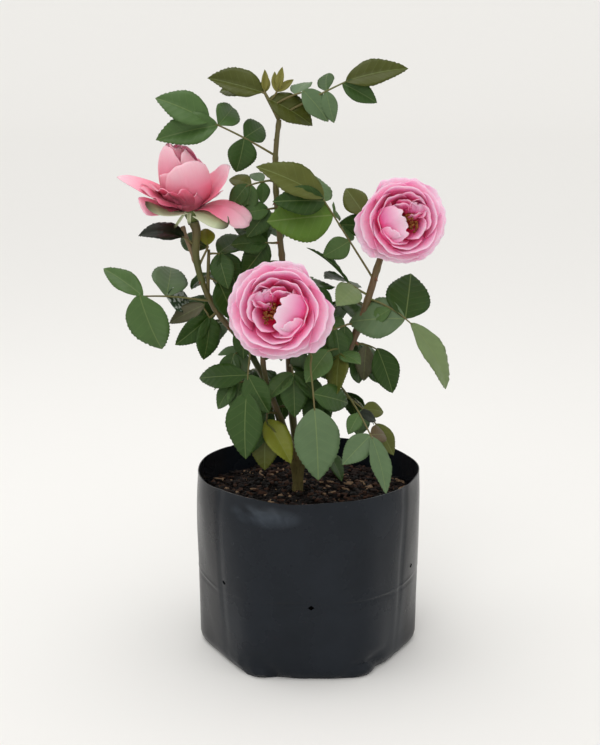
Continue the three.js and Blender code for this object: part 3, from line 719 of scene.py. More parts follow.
# %% Potting mix finishes
CHIP_COLOURS = {"wet_bark": "#0f0906", "red_bark": "#24140d", "dry_bark": "#4a3022", "pale_wood": "#9c7f62"}
CHIP_SHADE = 0.55


def darker(code, share):
    """A colour made darker, as linear light."""
    return [c * share for c in linear(code)[:3]] + [1]


chip_materials = [
    mottled(name, 0.85, darker(colour, CHIP_SHADE), linear(colour), {"Scale": 700, "Detail": 3},
            bump=(0.5, 0.3), Specular_IOR_Level=0.3)
    for name, colour in CHIP_COLOURS.items()
]
mix = mottled("coir_and_bark_mix", 0.95, linear("#070403"), linear("#180e09"),
              {"Scale": 420, "Detail": 6, "Roughness": 0.7}, bump=(0.9, 1.2), Specular_IOR_Level=0.2)
soil.data.materials.append(mix)
dress(soil, "potting_mix", "soil")
bark_chips = chips.build("bark_chips", chip_materials)
dress(bark_chips, "potting_mix")
print("chips", len(bark_chips.data.polygons), "faces")

# %% [markdown]
# ## The rule by which the plant grows
# The model's own rule is written out again here, in millimetres: a heading and a rise aim a shoot, canes
# are smooth curves through a few points, blooms sit on their canes' ends, and a leaf is a stalk with
# leaflets.


# %% Directions, canes and bloom places
def aim(heading, rise):
    """Heading 0 is +X, 90 is away from the viewer, 270 towards them. Rise is above level."""
    h, r = math.radians(heading), math.radians(rise)
    return Vector((math.cos(h) * math.cos(r), math.sin(h) * math.cos(r), math.sin(r)))


GAP = 0.3
STUMP_HEIGHT = 30
STUMP_TOP = SOIL_LEVEL + GAP + STUMP_HEIGHT
HIP_LENGTH = 12
CANE_NECK = 9
# Each bloom: where its petals join, the heading and rise it faces, and the room that leaves keep clear
# round it, as its half width, its half depth and how far ahead its middle lies.
BLOOMS = {
    "bloom_front": dict(at=(-22, -41, 307), facing=(266, 9), room=(40, 17, 14)),
    "bloom_right": dict(at=(75, -3, 375), facing=(276, 6), room=(35, 17, 14)),
    "bloom_left": dict(at=(-97, -10, 386), facing=(188, 77), room=(24, 27, 24)),
}
CANE_FOOT = STUMP_TOP + GAP
# Each cane: its radius at its foot and its top, the places it passes through, and the bloom it carries.
CANES = {
    "centre": dict(radii=(4.4, 2.6), through=[
        (-9, 6, CANE_FOOT), (-14, 8, 212), (-17, 11, 275), (-21, 13, 330), (-26, 12, 385), (-27, 10, 425),
        (-24, 8, 456)]),
    "left": dict(radii=(4.2, 3.3), bloom="bloom_left", through=[
        (-16, -1, CANE_FOOT), (-30, 0, 220), (-52, 0, 266), (-74, -5, 294), (-87, -8, 320), (-93, -9, 345)]),
    "right": dict(radii=(4.3, 2.8), bloom="bloom_right", through=[
        (-2, -1, CANE_FOOT), (6, -1, 200), (22, -2, 238), (38, -3, 272), (50, -2, 306), (58, 2, 333),
        (67, 13, 358)]),
    "front": dict(radii=(3.9, 2.7), bloom="bloom_front", through=[
        (-9, -8, CANE_FOOT), (-22, -15, 205), (-34, -20, 238), (-38, -21, 268), (-31, -17, 291)]),
}
print(len(CANES), "canes,", len(BLOOMS), "blooms")

# %% Curves and axes
def bloom_axes(name):
    """Where a bloom's petals join, and its sideways, upward and facing directions."""
    facing = BLOOMS[name]["facing"]
    axis = aim(*facing)
    across = aim(facing[0] + 90, 0)
    return Vector(BLOOMS[name]["at"]), across, axis.cross(across), axis


def cane_knots(name):
    """The places a cane passes through, and the straight neck under its bloom."""
    knots = [Vector(p) for p in CANES[name]["through"]]
    if "bloom" in CANES[name]:
        at, _, _, axis = bloom_axes(CANES[name]["bloom"])
        knots += [at - axis * (HIP_LENGTH + GAP + CANE_NECK), at - axis * (HIP_LENGTH + GAP)]
    return knots


def through_knots(knots, share):
    """A point of the smooth curve through knots, from 0 at its start to 1 at its end."""
    last = len(knots) - 1
    step = min(last - 1, int(share * last))
    w = share * last - step
    p1, p2 = knots[step], knots[step + 1]
    p0 = knots[step - 1] if step > 0 else 2 * p1 - p2
    p3 = knots[step + 2] if step + 2 <= last else 2 * p2 - p1
    return 0.5 * (2 * p1 + (p2 - p0) * w + (2 * p0 - 5 * p1 + 4 * p2 - p3) * w ** 2
                  + (3 * p1 - p0 - 3 * p2 + p3) * w ** 3)


def cane_point(name, share):
    """A cane's point at a share of its way."""
    return through_knots(cane_knots(name), share)


# %% [markdown]
# ## How a leaf grows
# A rose leaf is compound. Its stalk sags as it goes and carries pairs of leaflets and one at its end. Roll
# turns its upper face about the stalk, hang turns the end leaflet further down, and droop the paired ones.
# The seeded numbers make no two leaflets alike, and they are drawn in the same order as in the model, so
# the leaves fall in its places.

# %% The leaf rule
STALK_STEPS = 3
STUB_SUNK = 2
LEAF = dict(start=1, sag=12, swing=0, roll=0, hang=10, droop=18, width=1, pairs=[0.48, 0.84],
            sizes=[(0.62, 0.62), (0.84, 0.84)], spread=[(66, 66), (58, 58)], missing=[],
            tints=[], folds={}, curls={}, widths={})
BUSHY = dict(pairs=[0.3, 0.78], sizes=[(0.7, 0.7), (0.9, 0.9)])
JITTER_ANGLE = 14
JITTER_SIZE = 0.12
BLADE_FOLD = 14
BLADE_CURL = 30


def stalk_path(row, root):
    """The points that a leaf's stalk runs through."""
    points = [root.copy()]
    for i in range(STALK_STEPS):
        share = (i + 0.5) / STALK_STEPS
        way = aim(row["heading"] + row["swing"] * share, row["rise"] - row["sag"] * share)
        points.append(points[i] + way * (row["reach"] / STALK_STEPS))
    return points


def leaf_frame(row, share, pitch):
    """The way the stalk runs at a share of it, and its upper face."""
    heading = row["heading"] + row["swing"] * share
    along = aim(heading, row["rise"] - row["sag"] * share - pitch)
    face = aim(heading - 90, 0).cross(along)
    face.rotate(Matrix.Rotation(math.radians(row["roll"]), 3, along))
    return along, face


# %% Grow one leaf
def grow_leaf(row, root, random):
    """One compound leaf: its stalk, and its leaflets with the end one first."""
    path = stalk_path(row, root)

    def at(share):
        step = min(STALK_STEPS - 1, int(share * STALK_STEPS))
        return path[step].lerp(path[step + 1], share * STALK_STEPS - step)

    def jitter(most):
        return (next(random) - 0.5) * 2 * most

    along, face = leaf_frame(row, 1, row["hang"])
    leaflets = [dict(base=at(1) - along * STUB_SUNK, along=along, face=face,
                     length=row["blade"] * (1 + jitter(JITTER_SIZE)))]
    for pair, share in enumerate(row["pairs"]):
        for hand in (1, -1):
            along, face = leaf_frame(row, share, 0)
            number = 0 if hand > 0 else 1
            turn = -hand * (row["spread"][pair][number] + jitter(JITTER_ANGLE))
            along.rotate(Matrix.Rotation(math.radians(turn), 3, face))
            side = along.cross(face)
            along.rotate(Matrix.Rotation(math.radians(-row["droop"] - jitter(JITTER_ANGLE)), 3, side))
            length = row["blade"] * row["sizes"][pair][number] * (1 + jitter(JITTER_SIZE))
            leaflets.append(dict(base=at(share), along=along, face=side.cross(along), length=length))
    for number, leaf in enumerate(leaflets):
        leaf["width"] = row["widths"].get(number, row["width"])
        leaf["fold"] = row["folds"].get(number, BLADE_FOLD)
        leaf["curl"] = row["curls"].get(number, BLADE_CURL)
        leaf["tint"] = row["tints"][number] if number < len(row["tints"]) else None
    return path, [leaf for number, leaf in enumerate(leaflets) if number not in row["missing"]]


# %% [markdown]
# ## The shoots
# Each row says which cane a shoot stands on and how far up, its spur's heading, rise and length, and its
# leaves: where on the spur a leaf starts, its heading and rise, the stalk's reach, the end blade's length,
# where the pairs stand, how large each leaflet is and how far it spreads. Tints, widths, folds and curls
# count the leaflets from the end one, which is 0, and a leaflet without a tint is dealt one later.

# %% The shoots of the top and the left
SHOOTS = {
    "top_spray": dict(on=("centre", 1), spur=(185, 62, 24), leaves=[
        dict(start=0.1, heading=352, rise=29, reach=65, sag=4, roll=60, hang=6, blade=60, width=0.84,
             pairs=[0.7, 0.92], sizes=[(0.5, 0.46), (0.58, 0)], spread=[(105, 70), (48, 60)], missing=[4],
             tints=["crown", "grey", "deep", "deep"], widths={0: 0.7}, folds={0: 24, 3: 26}),
        dict(heading=186, rise=20, reach=4, sag=0, roll=-52, hang=2, blade=48, pairs=[0.6],
             sizes=[(0.95, 0)], spread=[(12, 40)], missing=[2], tints=["crown", "crown"],
             folds={0: 40, 1: 34}, curls={0: 12}),
        dict(start=0.78, heading=350, rise=-14, reach=2, sag=0, roll=50, hang=8, blade=42, pairs=[],
             tints=["crown"], folds={0: 28}),
        dict(start=0.7, heading=350, rise=40, reach=14, sag=-30, roll=90, hang=-12, blade=19, width=0.6,
             pairs=[0.7], sizes=[(1, 1)], spread=[(24, 30)], tints=["young", "young", "young"],
             folds={0: 50, 1: 46, 2: 46}),
        dict(start=0.5, heading=345, rise=34, reach=30, sag=20, roll=50, hang=56, blade=33, pairs=[0.75],
             sizes=[(0, 0.95)], spread=[(60, 60)], missing=[1], tints=["grey", "", "grey"]),
        dict(start=0.9, heading=175, rise=56, reach=6, sag=-30, roll=-70, hang=-10, blade=18, width=0.6,
             pairs=[0.5], sizes=[(0.8, 0.8)], spread=[(24, 24)], tints=["young", "young", "crown"],
             folds={0: 56, 1: 50, 2: 50}),
    ]),
    "high_left_leaf": dict(on=("centre", 0.84), spur=(205, 30, 8), leaves=[
        dict(heading=194, rise=31, reach=57, sag=8, roll=-62, hang=-8, blade=54, pairs=[0.4, 0.82],
             sizes=[(0.58, 0.54), (0.66, 0.88)], spread=[(118, 112), (120, 27)],
             tints=["mid", "deep", "deep", "mid", "mid"], widths={1: 1.1, 2: 1.35, 3: 1.1, 4: 0.86},
             folds={0: 26, 2: 24, 3: 34, 4: 42}),
    ]),
    "inner_right_leaf": dict(on=("right", 0.58), spur=(195, 60, 8), leaves=[
        dict(heading=196, rise=57, reach=77, sag=0, roll=-60, hang=24, blade=70, width=0.86,
             pairs=[0.42, 0.76, 0.94], sizes=[(0.3, 0.36), (0.46, 0.74), (0.5, 0.58)],
             spread=[(60, 75), (92, 42), (62, 46)],
             tints=["olive", "deep", "mid", "mid", "bright", "mid", "shade"],
             widths={0: 0.76, 2: 1.2, 4: 1.16}, folds={0: 30, 4: 8, 6: 20}, curls={4: 16}),
    ]),
    "bloom_side_leaf": dict(on=("right", 0.7), spur=(160, 40, 8), leaves=[
        dict(heading=152, rise=62, reach=28, sag=0, roll=-60, blade=34, pairs=[0.55], sizes=[(0.6, 0.8)],
             spread=[(60, 62)], tints=["olive", "deep", "shade"], widths={0: 1.1}),
    ]),
    "middle_left_leaf": dict(on=("centre", 0.66), spur=(232, 0, 7), leaves=[
        dict(heading=208, rise=-4, reach=5, sag=0, roll=-62, hang=-2, blade=29, pairs=[0.5],
             sizes=[(0, 1)], spread=[(26, 26)], missing=[1], tints=["mid", "", "deep"]),
    ]),
    "middle_low_leaf": dict(on=("centre", 0.57), spur=(215, 0, 7), leaves=[
        dict(heading=208, rise=6, reach=8, sag=0, roll=-60, hang=0, blade=36, pairs=[0.7],
             sizes=[(0.95, 0.95)], spread=[(50, 50)], tints=["deep", "shade", "shade"]),
    ]),
    "dark_left_leaf": dict(on=("left", 0.77), spur=(190, 40, 7), leaves=[
        dict(heading=186, rise=34, reach=7, sag=0, roll=-30, hang=14, blade=45, pairs=[], tints=["dark"],
             folds={0: 26}, curls={0: 44}),
    ]),
    "left_leaf": dict(on=("left", 0.5), spur=(200, 10, 8), leaves=[
        dict(heading=194, rise=12, reach=52, roll=-62, hang=104, blade=64, pairs=[0.58, 0.95],
             sizes=[(0.74, 0.5), (0.7, 0)], spread=[(108, 180), (56, 60)], missing=[4],
             tints=["mid", "grey", "spotted", "mid"], widths={0: 1.04, 1: 1.1, 3: 0.62},
             folds={1: 22, 3: 24}),
    ]),
    "left_low_leaf": dict(on=("left", 0.45), spur=(205, -35, 8), leaves=[
        dict(heading=190, rise=60, reach=12, sag=0, roll=-60, hang=82, blade=40, pairs=[0.1],
             sizes=[(0.9, 0.9)], spread=[(-100, 160)], tints=["drab", "shade", "deep"],
             widths={0: 0.66, 1: 0.84}, folds={0: 22, 1: 24}),
    ]),
    "left_inner_shoot": dict(on=("left", 0.53), spur=(80, 80, 36), leaves=[
        dict(start=0.95, heading=345, rise=10, reach=12, sag=20, roll=50, hang=50, blade=40, pairs=[0.7],
             sizes=[(0.85, 0.85)], spread=[(60, 60)], tints=["shade", "deep", "deep"]),
        dict(start=0.4, heading=330, rise=-10, reach=12, sag=20, roll=40, hang=30, blade=36, pairs=[],
             tints=["shade"]),
        dict(heading=150, rise=60, reach=5, sag=20, roll=-50, hang=20, blade=32, pairs=[],
             tints=["deep"]),
    ]),
}
print(len(SHOOTS), "shoots")

# %% The shoots of the front and the right
SHOOTS |= {
    "front_left_leaf": dict(on=("front", 0.53), spur=(215, 20, 12), leaves=[
        dict(heading=254, rise=-62, reach=44, sag=15, hang=-6, droop=0, blade=66, pairs=[0.64],
             sizes=[(0.84, 0.5)], spread=[(78, 40)], tints=["deep", "shade", "deep"],
             widths={0: 0.86, 1: 0.58}, folds={1: 24, 2: 26}),
    ]),
    "front_leaf": dict(on=("front", 0.58), spur=(333, -10, 40), leaves=[
        dict(heading=285, rise=-55, reach=52, sag=20, hang=-6, droop=10, blade=68, pairs=[0.74],
             sizes=[(0.66, 0.74)], spread=[(92, 72)], tints=["grey", "shade", "deep"],
             widths={0: 1.02, 1: 0.84, 2: 0.8}, folds={0: 9}, curls={0: 18}),
    ]),
    "yellow_leaf": dict(on=("front", 0.2), spur=(200, 10, 10), leaves=[
        dict(heading=262, rise=-25, reach=14, sag=20, hang=20, blade=46, pairs=[0.6], sizes=[(0.8, 1.06)],
             spread=[(50, 42)], tints=["olive", "deep", "yellow"], widths={2: 0.8}, folds={2: 24}),
    ]),
    "right_low_leaf": dict(on=("right", 0.25), spur=(298, -12, 10), leaves=[
        dict(heading=294, rise=-16, reach=64, sag=34, swing=12, roll=8, hang=4, blade=56,
             pairs=[0.6, 0.94], sizes=[(0.42, 0.36), (0.62, 0.4)], spread=[(60, 60), (70, 100)],
             tints=["grey", "mid", "dark", "grey", "rust"], widths={0: 0.6, 2: 1.1, 3: 0.96},
             folds={0: 20}),
    ]),
    "right_low_spray": dict(on=("right", 0.22), spur=(335, -10, 8), leaves=[
        dict(heading=330, rise=-14, reach=46, sag=36, roll=40, hang=0, blade=36, pairs=[0.6],
             sizes=[(0.7, 0.7)], spread=[(60, 60)], tints=["olive", "grey", "olive"], widths={0: 0.8}),
    ]),
    "right_middle_leaf": dict(on=("right", 0.36), spur=(345, 15, 8), leaves=[
        dict(heading=342, rise=0, reach=17, sag=30, roll=58, hang=36, blade=50, pairs=[0.35],
             sizes=[(0.6, 0)], spread=[(85, 70)], missing=[2], tints=["shade", "drab"],
             widths={0: 0.86, 1: 0.8}, folds={0: 24}),
    ]),
    "right_leaf": dict(on=("right", 0.51), spur=(325, -10, 8), leaves=[
        dict(heading=328, rise=-14, reach=37, sag=28, swing=15, roll=45, hang=2, blade=86, width=0.7,
             pairs=[0.4, 0.8], sizes=[(0.38, 0.47), (0.62, 0.57)], spread=[(120, 100), (150, 124)],
             tints=["pale", "mid", "grey", "grey", "shade"], widths={0: 0.44, 3: 1.16, 4: 1.24},
             folds={0: 22, 4: 6}, curls={0: 62, 4: 12}),
    ]),
    "right_upper_leaf": dict(on=("right", 0.52), spur=(190, 30, 8), leaves=[
        dict(heading=184, rise=34, reach=14, sag=0, roll=-10, hang=-22, blade=54, pairs=[0.4],
             sizes=[(0.85, 0.7)], spread=[(60, 60)], tints=["deep", "shade", "pale"], folds={0: 68},
             widths={0: 0.3}),
    ]),
    "right_inner_shoot": dict(on=("right", 0.34), spur=(240, 20, 12), leaves=[
        dict(heading=232, rise=20, reach=20, sag=30, roll=-30, hang=20, blade=40, pairs=[0.7],
             sizes=[(0.85, 0.85)], tints=["mid", "deep", "mid"]),
        dict(start=0.5, heading=252, rise=10, reach=15, sag=30, roll=20, hang=25, blade=34, pairs=[0.7],
             sizes=[(0.85, 0.85)], tints=["olive", "deep", "mid"]),
    ]),
    "centre_low_shoot": dict(on=("centre", 0.26), spur=(275, 20, 12), leaves=[
        dict(heading=275, rise=15, reach=30, sag=40, hang=30, blade=42, pairs=[0.4, 0.85],
             tints=["deep", "mid", "shade", "mid", "deep"]),
    ]),
}
print(len(SHOOTS), "shoots on the near side")

# %% The shoots of the far side
FAR_LEAF = dict(reach=38, sag=30, hang=20, blade=45, pairs=[0.4, 0.86], sizes=[(0.6, 0.6), (0.8, 0.8)])
FAR_SPUR = 10
FAR_SHOOTS = [
    # cane, share of its way, heading, rise
    ("left", 0.2, 106, 5), ("right", 0.18, 62, 10), ("centre", 0.2, 98, 0), ("left", 0.34, 110, 15),
    ("right", 0.34, 85, 10), ("centre", 0.4, 94, 10), ("left", 0.5, 100, 5), ("right", 0.48, 115, 8),
    ("left", 0.6, 72, 10), ("centre", 0.64, 110, 0),
]
for number, (cane, share, heading, rise) in enumerate(FAR_SHOOTS):
    leaf = {**FAR_LEAF, "heading": heading, "rise": rise}
    SHOOTS[f"far_shoot_{number + 1}"] = dict(on=(cane, share), spur=(heading, rise, FAR_SPUR), leaves=[leaf])
print(len(SHOOTS), "shoots")

# %% [markdown]
# Finer twigs fill the heart of the bush, within the reach of the model's masses. They are short shoots of
# small leaves on the same canes, grown after the others, so they only take the room that is left.

# %% The fine shoots of the middle
FINE_SHOOTS = [
    # cane and share, spur, leaf
    (("centre", 0.3), (300, 20, 8), dict(heading=318, rise=4, reach=22, roll=40, hang=30, blade=38)),
    (("centre", 0.36), (250, 10, 8), dict(heading=238, rise=-10, reach=14, roll=-40, hang=30, blade=34)),
    (("centre", 0.44), (330, 30, 8), dict(heading=335, rise=10, reach=18, roll=40, hang=40, blade=36)),
    (("centre", 0.52), (200, 10, 8), dict(heading=196, rise=-6, reach=16, roll=-50, hang=40, blade=34)),
    (("centre", 0.74), (215, 20, 6), dict(heading=205, rise=-4, reach=22, roll=-56, hang=30, blade=28)),
    (("right", 0.42), (200, 20, 8), dict(heading=205, rise=-8, reach=18, roll=-40, hang=40, blade=34)),
    (("right", 0.22), (250, 10, 8), dict(heading=240, rise=0, reach=14, roll=-20, hang=36, blade=34)),
    (("front", 0.34), (170, 20, 8), dict(heading=190, rise=0, reach=20, roll=-40, hang=34, blade=34)),
    (("left", 0.28), (240, 10, 8), dict(heading=230, rise=-10, reach=12, roll=-30, hang=40, blade=34)),
    (("right", 0.03), (320, 10, 16), dict(heading=330, rise=-20, reach=8, roll=10, hang=14, blade=32,
                                          pairs=[])),
    (("left", 0.66), (20, 62, 18), dict(heading=100, rise=70, reach=4, hang=0, blade=21, pairs=[],
                                        tints=["yellow"], widths={0: 1.2}, folds={0: 30})),
    (("right", 0.3), (30, 20, 8), dict(heading=20, rise=10, reach=16, roll=50, hang=40, blade=34)),
    (("left", 0.38), (330, 30, 8), dict(heading=320, rise=0, reach=14, roll=30, hang=40, blade=32)),
    (("centre", 0.16), (210, 20, 8), dict(heading=200, rise=0, reach=16, roll=-40, hang=40, blade=34)),
    (("centre", 0.6), (20, 30, 7), dict(heading=10, rise=20, reach=12, roll=50, hang=40, blade=26)),
]
print(len(FINE_SHOOTS), "fine shoots")

# %% [markdown]
# ## Leaving room
# A leaflet is left out where it would touch a cane, a bloom or another shoot's leaflet, as the model does.

# %% Room for leaflets
CANE_CLEAR = 2
CANE_PROBES = 40
LEAF_CLEAR = 3
PROBES = (0.2, 0.45, 0.7, 0.95)
BLADE_WIDTH = 0.64
BROADEST_AT, BLADE_ROUNDNESS = 0.8, 0.9


def blade_half(share):
    """Half a leaflet's width at a share of its length, as a share of that length."""
    return 0.5 * BLADE_WIDTH * max(0.0, math.sin(math.pi * share ** BROADEST_AT)) ** BLADE_ROUNDNESS


def blade_probes(leaf):
    """A few points of the curled blade that are tested for room."""
    curl = math.radians(BLADE_CURL)
    probes = []
    for share in PROBES:
        bend = curl * share
        probes.append(leaf["base"] + leaf["along"] * (math.sin(bend) / curl * leaf["length"])
                      - leaf["face"] * ((1 - math.cos(bend)) / curl * leaf["length"]))
    bend = curl * PROBES[1]
    normal = leaf["face"] * math.cos(bend) + leaf["along"] * math.sin(bend)
    side = leaf["along"].cross(leaf["face"])
    half = blade_half(PROBES[1]) * leaf["length"] * leaf["width"]
    lift = normal * (half * math.sin(math.radians(BLADE_FOLD)))
    for hand in (1, -1):
        probes.append(probes[1] + side * (hand * half * math.cos(math.radians(BLADE_FOLD))) + lift)
    return np.array(probes)


# %% What a leaflet has to miss
cane_room = []
for name, cane in CANES.items():
    low, high = cane["radii"]
    for i in range(CANE_PROBES + 1):
        clear = low + (high - low) * i / CANE_PROBES + CANE_CLEAR
        cane_room.append([*cane_point(name, i / CANE_PROBES), clear])
cane_room = np.array(cane_room)
leaf_room = []


def in_bloom(point):
    """Whether a point lies in the room of a bloom."""
    for name, bloom in BLOOMS.items():
        wide, deep, ahead = bloom["room"]
        at, _, _, axis = bloom_axes(name)
        away = Vector(point) - (at + axis * ahead)
        along = away.dot(axis)
        if math.hypot(along / deep, (away - axis * along).length / wide) < 1:
            return True
    return False


def has_room(leaf):
    """Whether a leaflet misses the canes, the blooms and the leaflets of the shoots before it."""
    probes = blade_probes(leaf)
    apart = np.linalg.norm(probes[:, None] - cane_room[None, :, :3], axis=2)
    if (apart < cane_room[None, :, 3]).any() or any(in_bloom(p) for p in probes):
        return False
    others = np.concatenate(leaf_room) if leaf_room else np.zeros((0, 3))
    return not (np.linalg.norm(probes[:, None] - others[None], axis=2) < LEAF_CLEAR).any()


print(len(cane_room), "places along the canes")

# %% Grow every shoot
SHOOT_SEED = 11
FINE_SEED = 300
SPUR_END = 1.05

growing = [(name, shoot, SHOOT_SEED + number) for number, (name, shoot) in enumerate(SHOOTS.items())]
for number, (on, spur, row) in enumerate(FINE_SHOOTS):
    shoot = dict(on=on, spur=spur, leaves=[{**BUSHY, **row}])
    growing.append((f"fine_shoot_{number + 1}", shoot, FINE_SEED + number))

grown = {}
for name, shoot, seed in growing:
    random = seeded(seed)
    root = cane_point(*shoot["on"])
    heading, rise, length = shoot["spur"]
    tip = root + aim(heading, rise) * length
    stalks, leaflets = [], []
    for given in shoot["leaves"]:
        row = {**LEAF, **given}
        path, blades = grow_leaf(row, root.lerp(tip, row["start"]), random)
        if len(shoot["leaves"]) == 1:
            path.insert(0, root)
        stalks.append(path)
        leaflets += [leaf for leaf in blades if has_room(leaf)]
    leaf_room += [blade_probes(leaf) for leaf in leaflets]
    spur = [] if len(stalks) == 1 else [root, root.lerp(tip, SPUR_END)]
    grown[name] = dict(stalks=stalks, leaflets=leaflets, spur=spur)
print(sum(len(shoot["leaflets"]) for shoot in grown.values()), "leaflets")

# %% [markdown]
# ## A leaflet
# A rose leaflet is oval with a sharp point and a saw-toothed edge, sunk along its midrib and between its
# side veins. A grid is narrowed row by row to the outline, every other edge point is drawn forward into a
# tooth, and Solidify gives it a thin underside with a paler finish of its own.

# %% Model the leaflet
LEAF_ROWS = 34
LEAF_COLUMNS = 8
TOOTH_FORWARD = 0.012
TOOTH_OUT = 0.009
TOOTHED = (0.05, 0.97)
BASE_HALF, POINT_HALF = 0.006, 0.0015
LEAF_THICK = 0.007
SAME_ROW = 1e-4

start_clean()
bpy.ops.mesh.primitive_grid_add(
    x_subdivisions=LEAF_ROWS, y_subdivisions=LEAF_COLUMNS, size=1, location=(0.5, 0, 0))
blade = bpy.context.object
apply_place(blade)
rows = sorted({round(v.co.x, 5) for v in blade.data.vertices})
edit(blade)
for number, x in enumerate(rows):
    half = max(blade_half(x), BASE_HALF if x < 0.5 else POINT_HALF)
    pick(blade, lambda co: abs(co.x - x) < SAME_ROW)
    bpy.ops.transform.resize(value=(1, 2 * half, 1), center_override=(x, 0, 0))
    if number % 2 and TOOTHED[0] < x < TOOTHED[1]:
        for hand in (1, -1):
            pick(blade, lambda co: abs(co.x - x) < SAME_ROW and co.y * hand > half * 0.99)
            bpy.ops.transform.translate(value=(TOOTH_FORWARD, TOOTH_OUT * hand, 0))
bpy.ops.object.mode_set(mode="OBJECT")
add_modifier(blade, "SOLIDIFY", thickness=LEAF_THICK, offset=-1, material_offset=1, material_offset_rim=1)
leaf_template = read_template(blade)
leaf_places = leaf_template["points"][:, :2] + np.array([0, 0.5])
print("leaflet", len(leaf_template["faces"]), "faces")

# %% [markdown]
# A copy of the leaflet is laid along its stalk's direction. It is folded along the midrib, curled down
# towards its point, rippled between seven pairs of veins, and waved a little along its edges.

# %% Lay a leaflet in its place
VEINS = 7.5
VEIN_SLANT = 0.62
VEIN_FADE = 0.08
RIPPLE = 0.006
WAVE, WAVES = 0.02, 1.6
HALF_BLADE = BLADE_WIDTH / 2


def lay_leaflet(leaf, phase):
    """The points of one leaflet, whose edge waves start at a phase."""
    x, y, z = leaf_template["points"].T
    length = leaf["length"]
    curl = math.radians(leaf["curl"])
    side_way = leaf["face"].cross(leaf["along"])
    bend = curl * x
    run = np.sin(bend) / curl * length
    fall = (1 - np.cos(bend)) / curl * length
    along, face, side = (np.array(way) for way in (leaf["along"], leaf["face"], side_way))
    normal = face * np.cos(bend)[:, None] + along * np.sin(bend)[:, None]
    spread = np.abs(y)
    fold = math.radians(leaf["fold"]) * (1 - 0.5 * spread / HALF_BLADE)
    out = y * length * leaf["width"]
    veins = np.cos(2 * math.pi * VEINS * (x - VEIN_SLANT * spread)) * np.minimum(1, spread / VEIN_FADE)
    wave = WAVE * np.sin(2 * math.pi * (WAVES * x + phase) + np.sign(y)) * (spread / HALF_BLADE) ** 2
    lift = np.abs(out) * np.sin(fold) + (z + RIPPLE * veins + wave) * length
    return (np.array(leaf["base"]) + along * run[:, None] - face * fall[:, None]
            + side * (out * np.cos(fold))[:, None] + normal * lift[:, None])


# %% [markdown]
# Stalks are thin round stems, thicker where they leave the cane. The same helper draws stamens and hips
# later.

# %% Round stems
def smooth_line(points, count):
    """A number of points on the smooth curve through a few."""
    return [through_knots(points, i / (count - 1)) for i in range(count)]


def stem_mesh(line, radii, sides):
    """The points and faces of a closed round stem along a line."""
    across = None
    points = []
    for i, point in enumerate(line):
        along = (line[min(i + 1, len(line) - 1)] - line[max(i - 1, 0)]).normalized()
        if across is None:
            across = Vector((1, 0, 0)) if abs(along.z) > 0.9 else Vector((0, 0, 1))
        across = (across - along * across.dot(along)).normalized()
        third = along.cross(across)
        for k in range(sides):
            turn = 2 * math.pi * k / sides
            points.append(point + (across * math.cos(turn) + third * math.sin(turn)) * radii[i])
    faces = []
    for low in range(0, (len(line) - 1) * sides, sides):
        high = low + sides
        faces += [(low + k, low + (k + 1) % sides, high + (k + 1) % sides, high + k) for k in range(sides)]
    faces.append(tuple(range(sides))[::-1])
    faces.append(tuple(range((len(line) - 1) * sides, len(line) * sides)))
    return np.array([p[:] for p in points]), faces


# %% [markdown]
# ## Leaf finishes
# A rose leaf has a waxy cuticle, so it is satin with a soft grey sheen. The midrib and side veins are paler
# lines, drawn from the leaflet's own place map so that they follow its blade. Each tint has its own base
# colour, clouded a little, and the underside is paler and matt. The dark tint is painted shade, a near-black
# green for leaves in deep shadow, and the grey and pale tints are grey-green with a painted sheen whitened
# into them. One tint has dried drops of lime on it, 4 mm apart, and the fine net between the veins of every
# tint has meshes of 1.1 mm. Stalks are green with a brown flush.

# %% Leaf green, in tints
# Painted light in the tints: dark is painted shade for shadowed leaves; grey and pale carry a painted sheen.
TINTS = {
    "mid": "#4e6b38", "deep": "#385323", "grey": "#5f7752", "olive": "#595f25", "crown": "#4a5018",
    "yellow": "#7d8428", "dark": "#161f10", "bright": "#557524", "shade": "#2a4510", "young": "#7c7836",
    "pale": "#788b5c", "rust": "#544527", "drab": "#5c5b43", "spotted": "#33482f",
}
UNDERSIDE = "#5d7350"
UNDERSIDE_VEIN = "#8fa070"
VEIN = "#829259"
# The veins of the dark tint, darkened along with its painted shade.
SHADOWED_LEAF_VEIN = "#33452c"
LIME = "#c6d0c8"
LEAF_SHADE = 0.72


